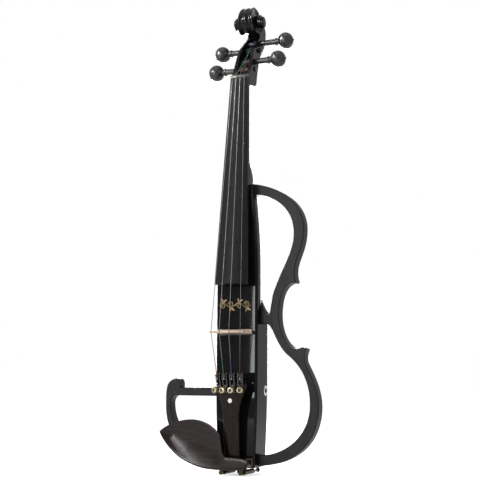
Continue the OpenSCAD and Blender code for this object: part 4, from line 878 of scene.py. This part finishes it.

# tuner screws: a shank and a knurled head whose rim ripples with the turn; the middle of the end face and its shallow
# cup are dark metal
screwSizes = {"height": tailTop - 6.5, "from": -5.7, "teeth": 26, "sides": 104, "rim": 3.5, "knurl": (13.6, 16.9),
              "knurlDeep": 0.22, "darkRows": (11, 12, 13, 15),
              "profile": ((1.2, 0), (1.5, 0.4), (1.5, 12.7), (2.2, 12.7), (3.1, 13.2), (3.6, 13.55), (3.6, 13.7),
                          (3.6, 16.8), (3.6, 16.95), (3.3, 17.6), (2.9, 18.0), (2.3, 18.15), (1.5, 18.05),
                          (1.3, 17.6), (0.4, 17.55))}


# depth times the sign of the cosine of teeth times the turn, on the rim alone
def knurl(r, length, a):
    low, high = (v / 1000 for v in screwSizes["knurl"])
    onRim = (r > screwSizes["rim"] / 1000) & (length > low) & (length < high)
    return np.where(onRim, screwSizes["knurlDeep"] / 1000 * np.sign(np.cos(screwSizes["teeth"] * a)), 0)


for i, s in enumerate(strings):
    turn, start = onCrown(i, tailSizes["radius"] + screwSizes["from"], screwSizes["height"])
    out = (math.sin(turn), -math.cos(turn) * leanCos, -math.cos(turn) * leanSin)
    across = (math.cos(turn), math.sin(turn) * leanCos, math.sin(turn) * leanSin)
    profile, sides = np.array(screwSizes["profile"]) / 1000, screwSizes["sides"]
    screw = makePiece("tunerScrew" + s.upper(), [turned(profile, start, out, across, sides, knurl)], brassGold,
                      body="tuner_screw_" + s + "_body", stands=("tuner_screw_" + s,), sharp=30)
    screw.data.materials.append(darkMetal)
    # the rows of the end face's middle and its shallow cup take the dark metal
    rows = np.arange(len(screw.data.polygons)) // sides
    screw.data.polygons.foreach_set("material_index", np.isin(rows, screwSizes["darkRows"]).astype(np.int32))
    easedCopy("tuner_body_" + s, darkMetal, 0.2)
    easedCopy("tuner_lever_" + s, darkMetal, 0.3, "tuner_lever_" + s + "_body")
print("tailpiece done")

# strings: from the ball over bridge and nut to a winding round the peg
stringSizes = {"radius": (0.4, 0.36, 0.32, 0.2), "bridge": 166.0, "bridgePitch": 13.0, "nutPitch": 5.5,
               "bridgeHigh": 37.0, "action": 1.2, "ballHigh": 4.9, "ballAt": tailTop + 6.5, "ball": 1.4, "turns": 4,
               "pitch": 1.45, "inset": 0.6, "gap": 0.3, "knots": (2.0, 3.0, 8.0, 14.0, 26.0), "silkKnots": (8, 11),
               "silkThick": 0.02, "sides": 10, "nutFront": 1.0, "nutBack": 3.2, "leave": 4.5,
               "ballShape": ((-1, 0.5), (-0.85, 0.8), (-0.5, 1.2), (0, 1.35), (0.5, 1.2), (0.85, 0.8), (1, 0.5))}


# drop of the board's arch at x
def boardSag(x):
    return sag(boardSizes["radius"], x)


bridgeCrown = bodySizes["depth"] + stringSizes["bridgeHigh"] + boardSag(stringSizes["bridgePitch"] / 2)
nutCrown = glueAtNut + boardSizes["edge"] + boardSag(boardSizes["nutWidth"] / 2) + stringSizes["action"]


# straight lines up to the nut, then a tangent to a helix round the peg
def stringPath(i):
    s, p = stringSizes, pegSizes
    nutX, bridgeX = (i - 1.5) * s["nutPitch"], (i - 1.5) * s["bridgePitch"]
    nutD = nutCrown - boardSag(nutX)
    ball = onCrown(i, tailSizes["radius"] + s["ballHigh"], s["ballAt"])[1] * 1000
    over = bench(bridgeX, bridgeCrown - boardSag(bridgeX), s["bridge"]) * 1000
    overNut, brow = (bench(nutX, nutD, nutHeight + s[k]) * 1000 for k in ("nutFront", "nutBack"))
    up = (over - ball) / np.linalg.norm(over - ball)
    pegD, pegZ = glueAtNut - p["behind"][i], nutHeight + p["up"][i]
    r = p["shaft"] + s["gap"] + s["radius"][i]
    w = np.array([pegD - nutD, pegZ - (nutHeight + s["leave"])])
    leave = math.atan2(w[1], w[0]) - math.pi / 2 - math.asin(r / np.hypot(*w))
    a = leave + np.linspace(0, 2 * np.pi * s["turns"], s["turns"] * 48 + 1)
    x = p["side"][i] * (s["inset"] + s["pitch"] * (a - leave) / (2 * np.pi))
    wound = bench(x, pegD + r * np.cos(a), pegZ + r * np.sin(a)) * 1000
    tailPart = ball + np.array(s["knots"])[:, None] * up
    grow = np.linspace(0.0, 1, 13)[1:-1, None]
    path = join([[ball + k * s["ball"] * up for k, _ in s["ballShape"]], tailPart, [over],
                 mix(over, overNut, grow), [overNut], [brow], wound])
    silkRows = np.zeros(len(path), bool)
    silkRows[slice(*s["silkKnots"])] = True
    silkRows[len(path) - len(wound) - 1:] = True
    radii = s["radius"][i] + s["silkThick"] * silkRows
    radii[:len(s["ballShape"])] = [r for _, r in s["ballShape"]]
    return path / 1000, radii / 1000, silkRows


for i, s in enumerate(strings):
    path, radii, silkRows = stringPath(i)
    sides = stringSizes["sides"]
    piece = makePiece("string" + s.upper(), [tubeAlong(path, radii, sides)], stringSteel, stands=("string_" + s,),
                      sharp=70)
    piece.data.materials.append(silks[s])
    which = np.zeros(len(piece.data.polygons), np.int32)
    which[:(len(path) - 1) * sides] = np.repeat(silkRows[:-1].astype(np.int32), sides)
    piece.data.polygons.foreach_set("material_index", which)
print("strings done")

# machined and moulded pieces keep their CAD form with eased edges
for row in (
        ("clamp_bracket", clampBronze, 0.3), ("clamp_foot", clampBronze, 0.3),
        ("clamp_barrel_left", clampBronze, 0.3, "clamp_barrel_left_body"),
        ("clamp_barrel_right", clampBronze, 0.3, "clamp_barrel_right_body"),
        ("back_cover", mouldedBlack, 0.25), ("battery_door", mouldedBlack, 0.25, "battery_lid"),
        ("volume_knob", gutBlack, 0.2, "volume_control"), ("tone_knob", gutBlack, 0.2, "tone_control"),
        ("power_switch", gutBlack, 0.3, "power_slider")):
    easedCopy(*row)
print("small pieces done")

# stage, camera and light

# degrees, mm and pixels of a square picture
shot = {"turn": 24.0, "tilt": 6.96, "roll": 0.37, "focal": 1076.88, "shiftX": 11.61, "shiftZ": 12.99,
        "distance": 1397.51, "middle": 300.0, "sensor": 36.0, "pixels": 480, "near": 0.01}


# axes from turn and tilt, rolled about the view; back from the middle by the distance, less the shifts
def setCamera():
    s = shot
    th, ph, ro = (math.radians(s[k]) for k in ("turn", "tilt", "roll"))
    right = Vector((math.cos(th), math.sin(th), 0))
    up = Vector((math.sin(th) * math.sin(ph), -math.cos(th) * math.sin(ph), math.cos(ph)))
    away = Vector((math.sin(th) * math.cos(ph), -math.cos(th) * math.cos(ph), -math.sin(ph)))
    place = Vector((0, 0, s["middle"])) - s["shiftX"] * right - s["shiftZ"] * up + s["distance"] * away
    place = (place + Vector((0, hang["depth"], -hang["height"]))) / 1000
    r = math.cos(ro) * right + math.sin(ro) * up
    u = -math.sin(ro) * right + math.cos(ro) * up
    data = bpy.data.cameras.new("camera")
    data.sensor_width = s["sensor"]
    data.lens = s["sensor"] * s["focal"] / s["pixels"]
    data.clip_start = s["near"]
    obj = addObject("camera", data)
    obj.matrix_world = Matrix((r, u, away)).transposed().to_4x4()
    obj.location = place
    bpy.context.scene.camera = obj


setCamera()

# place, aim, width and height in m, power in W, and for some the cone in degrees
lamps = {"stripSoftbox": ((-0.545, -1.5, -0.08), (-0.545, 0, -0.08), 0.12, 0.86, 14.2),
         "restSoftbox": ((-0.2, -1.4, 0.2), (-0.06, -0.05, -0.52), 0.42, 0.42, 6.5),
         "leftSoftbox": ((-1.05, -1.1, 0.68), (0, 0, 0), 0.9, 0.8, 17.0),
         "pegSoftbox": ((-0.95, -0.95, 0.62), (0.02, 0, 0.2), 0.4, 0.4, 3.0, 18),
         "sideSoftbox": ((-1.5, -0.2, 0.4), (0, 0, -0.2), 0.7, 1.2, 3.0),
         "backSoftbox": ((-0.8, 1.35, -0.05), (0, 0, -0.2), 0.9, 0.9, 8.0, 60),
         "fillSoftbox": ((1.5, -0.5, 0.35), (0, 0, -0.3), 0.5, 0.7, 6.0),
         "topSoftbox": ((0.1, -0.5, 1.3), (0, 0, -0.3), 1.2, 1.2, 8.0)}
stripTilt = 2.0


# a rectangular lamp turned to its aim
def softbox(name, place, aim, width, height, power, cone=180):
    data = bpy.data.lights.new(name, "AREA")
    data.shape = "RECTANGLE"
    data.size, data.size_y, data.energy = width, height, power
    data.spread = math.radians(cone)
    obj = addObject(name, data)
    obj.location = place
    obj.rotation_euler = (Vector(aim) - Vector(place)).to_track_quat("-Z", "Y").to_euler()
    return obj


softboxes = {name: softbox(name, *lamp) for name, lamp in lamps.items()}
softboxes["stripSoftbox"].rotation_euler = (math.radians(90), math.radians(stripTilt), 0)
# strengths of the world's fill light and white, then the floor's size, place and finish
stageSizes = {"fill": 0.5, "white": 1.0, "reach": 6.0, "gap": 0.0005, "pale": 0.9, "rough": 0.9, "lift": 0.55}


# 1 for rays that show the background: seen, refracted or mirrored
def backdropRays(tree):
    rays = addNode(tree, "LightPath", {}).outputs
    seen = rays["Is Camera Ray"]
    for ray in ("Is Transmission Ray", "Is Glossy Ray"):
        either = addNode(tree, "Math", {0: seen, 1: rays[ray]})
        either.operation = "MAXIMUM"
        seen = either.outputs[0]
    return seen


# one shader for rays that show the background, another for the rest
def showBackdrop(tree, output, rest, shown):
    blend = addNode(tree, "MixShader", {"Fac": backdropRays(tree), 1: rest.outputs[0], 2: shown.outputs[0]})
    wire(tree, tree.nodes[output], {"Surface": blend.outputs[0]})


# white where the background shows, a weaker fill as light
def setWorld():
    world = bpy.data.worlds.new("studio")
    world.use_nodes = True
    bpy.context.scene.world = world
    tree, white = world.node_tree, (1, 1, 1, 1)
    fill = wire(tree, tree.nodes["Background"], {"Color": white, "Strength": stageSizes["fill"]})
    shown = addNode(tree, "Background", {"Color": white, "Strength": stageSizes["white"]})
    showBackdrop(tree, "World Output", fill, shown)


# one square, lifted to white where it shows as background
def makeFloor(height):
    s = stageSizes
    corners = [(x * s["reach"], y * s["reach"], height) for x, y in ((-1, -1), (1, -1), (1, 1), (-1, 1))]
    mesh = bpy.data.meshes.new("floor")
    mesh.from_pydata(corners, [], [(0, 1, 2, 3)])
    obj = addObject("floor", mesh)
    m, tree, shader = newFinish("paleFloor")
    wire(tree, shader, {"Base Color": (*grey(s["pale"]), 1), "Roughness": s["rough"], "Specular IOR Level": 0.0})
    lift = addNode(tree, "Emission", {"Strength": s["lift"]})
    lifted = addNode(tree, "AddShader", {0: shader.outputs[0], 1: lift.outputs[0]})
    showBackdrop(tree, "Material Output", shader, lifted)
    mesh.materials.append(m)


setWorld()
makeFloor(cadBox[0][2] - stageSizes["gap"])
bpy.context.scene.view_settings.view_transform = "Standard"
print("stage done")
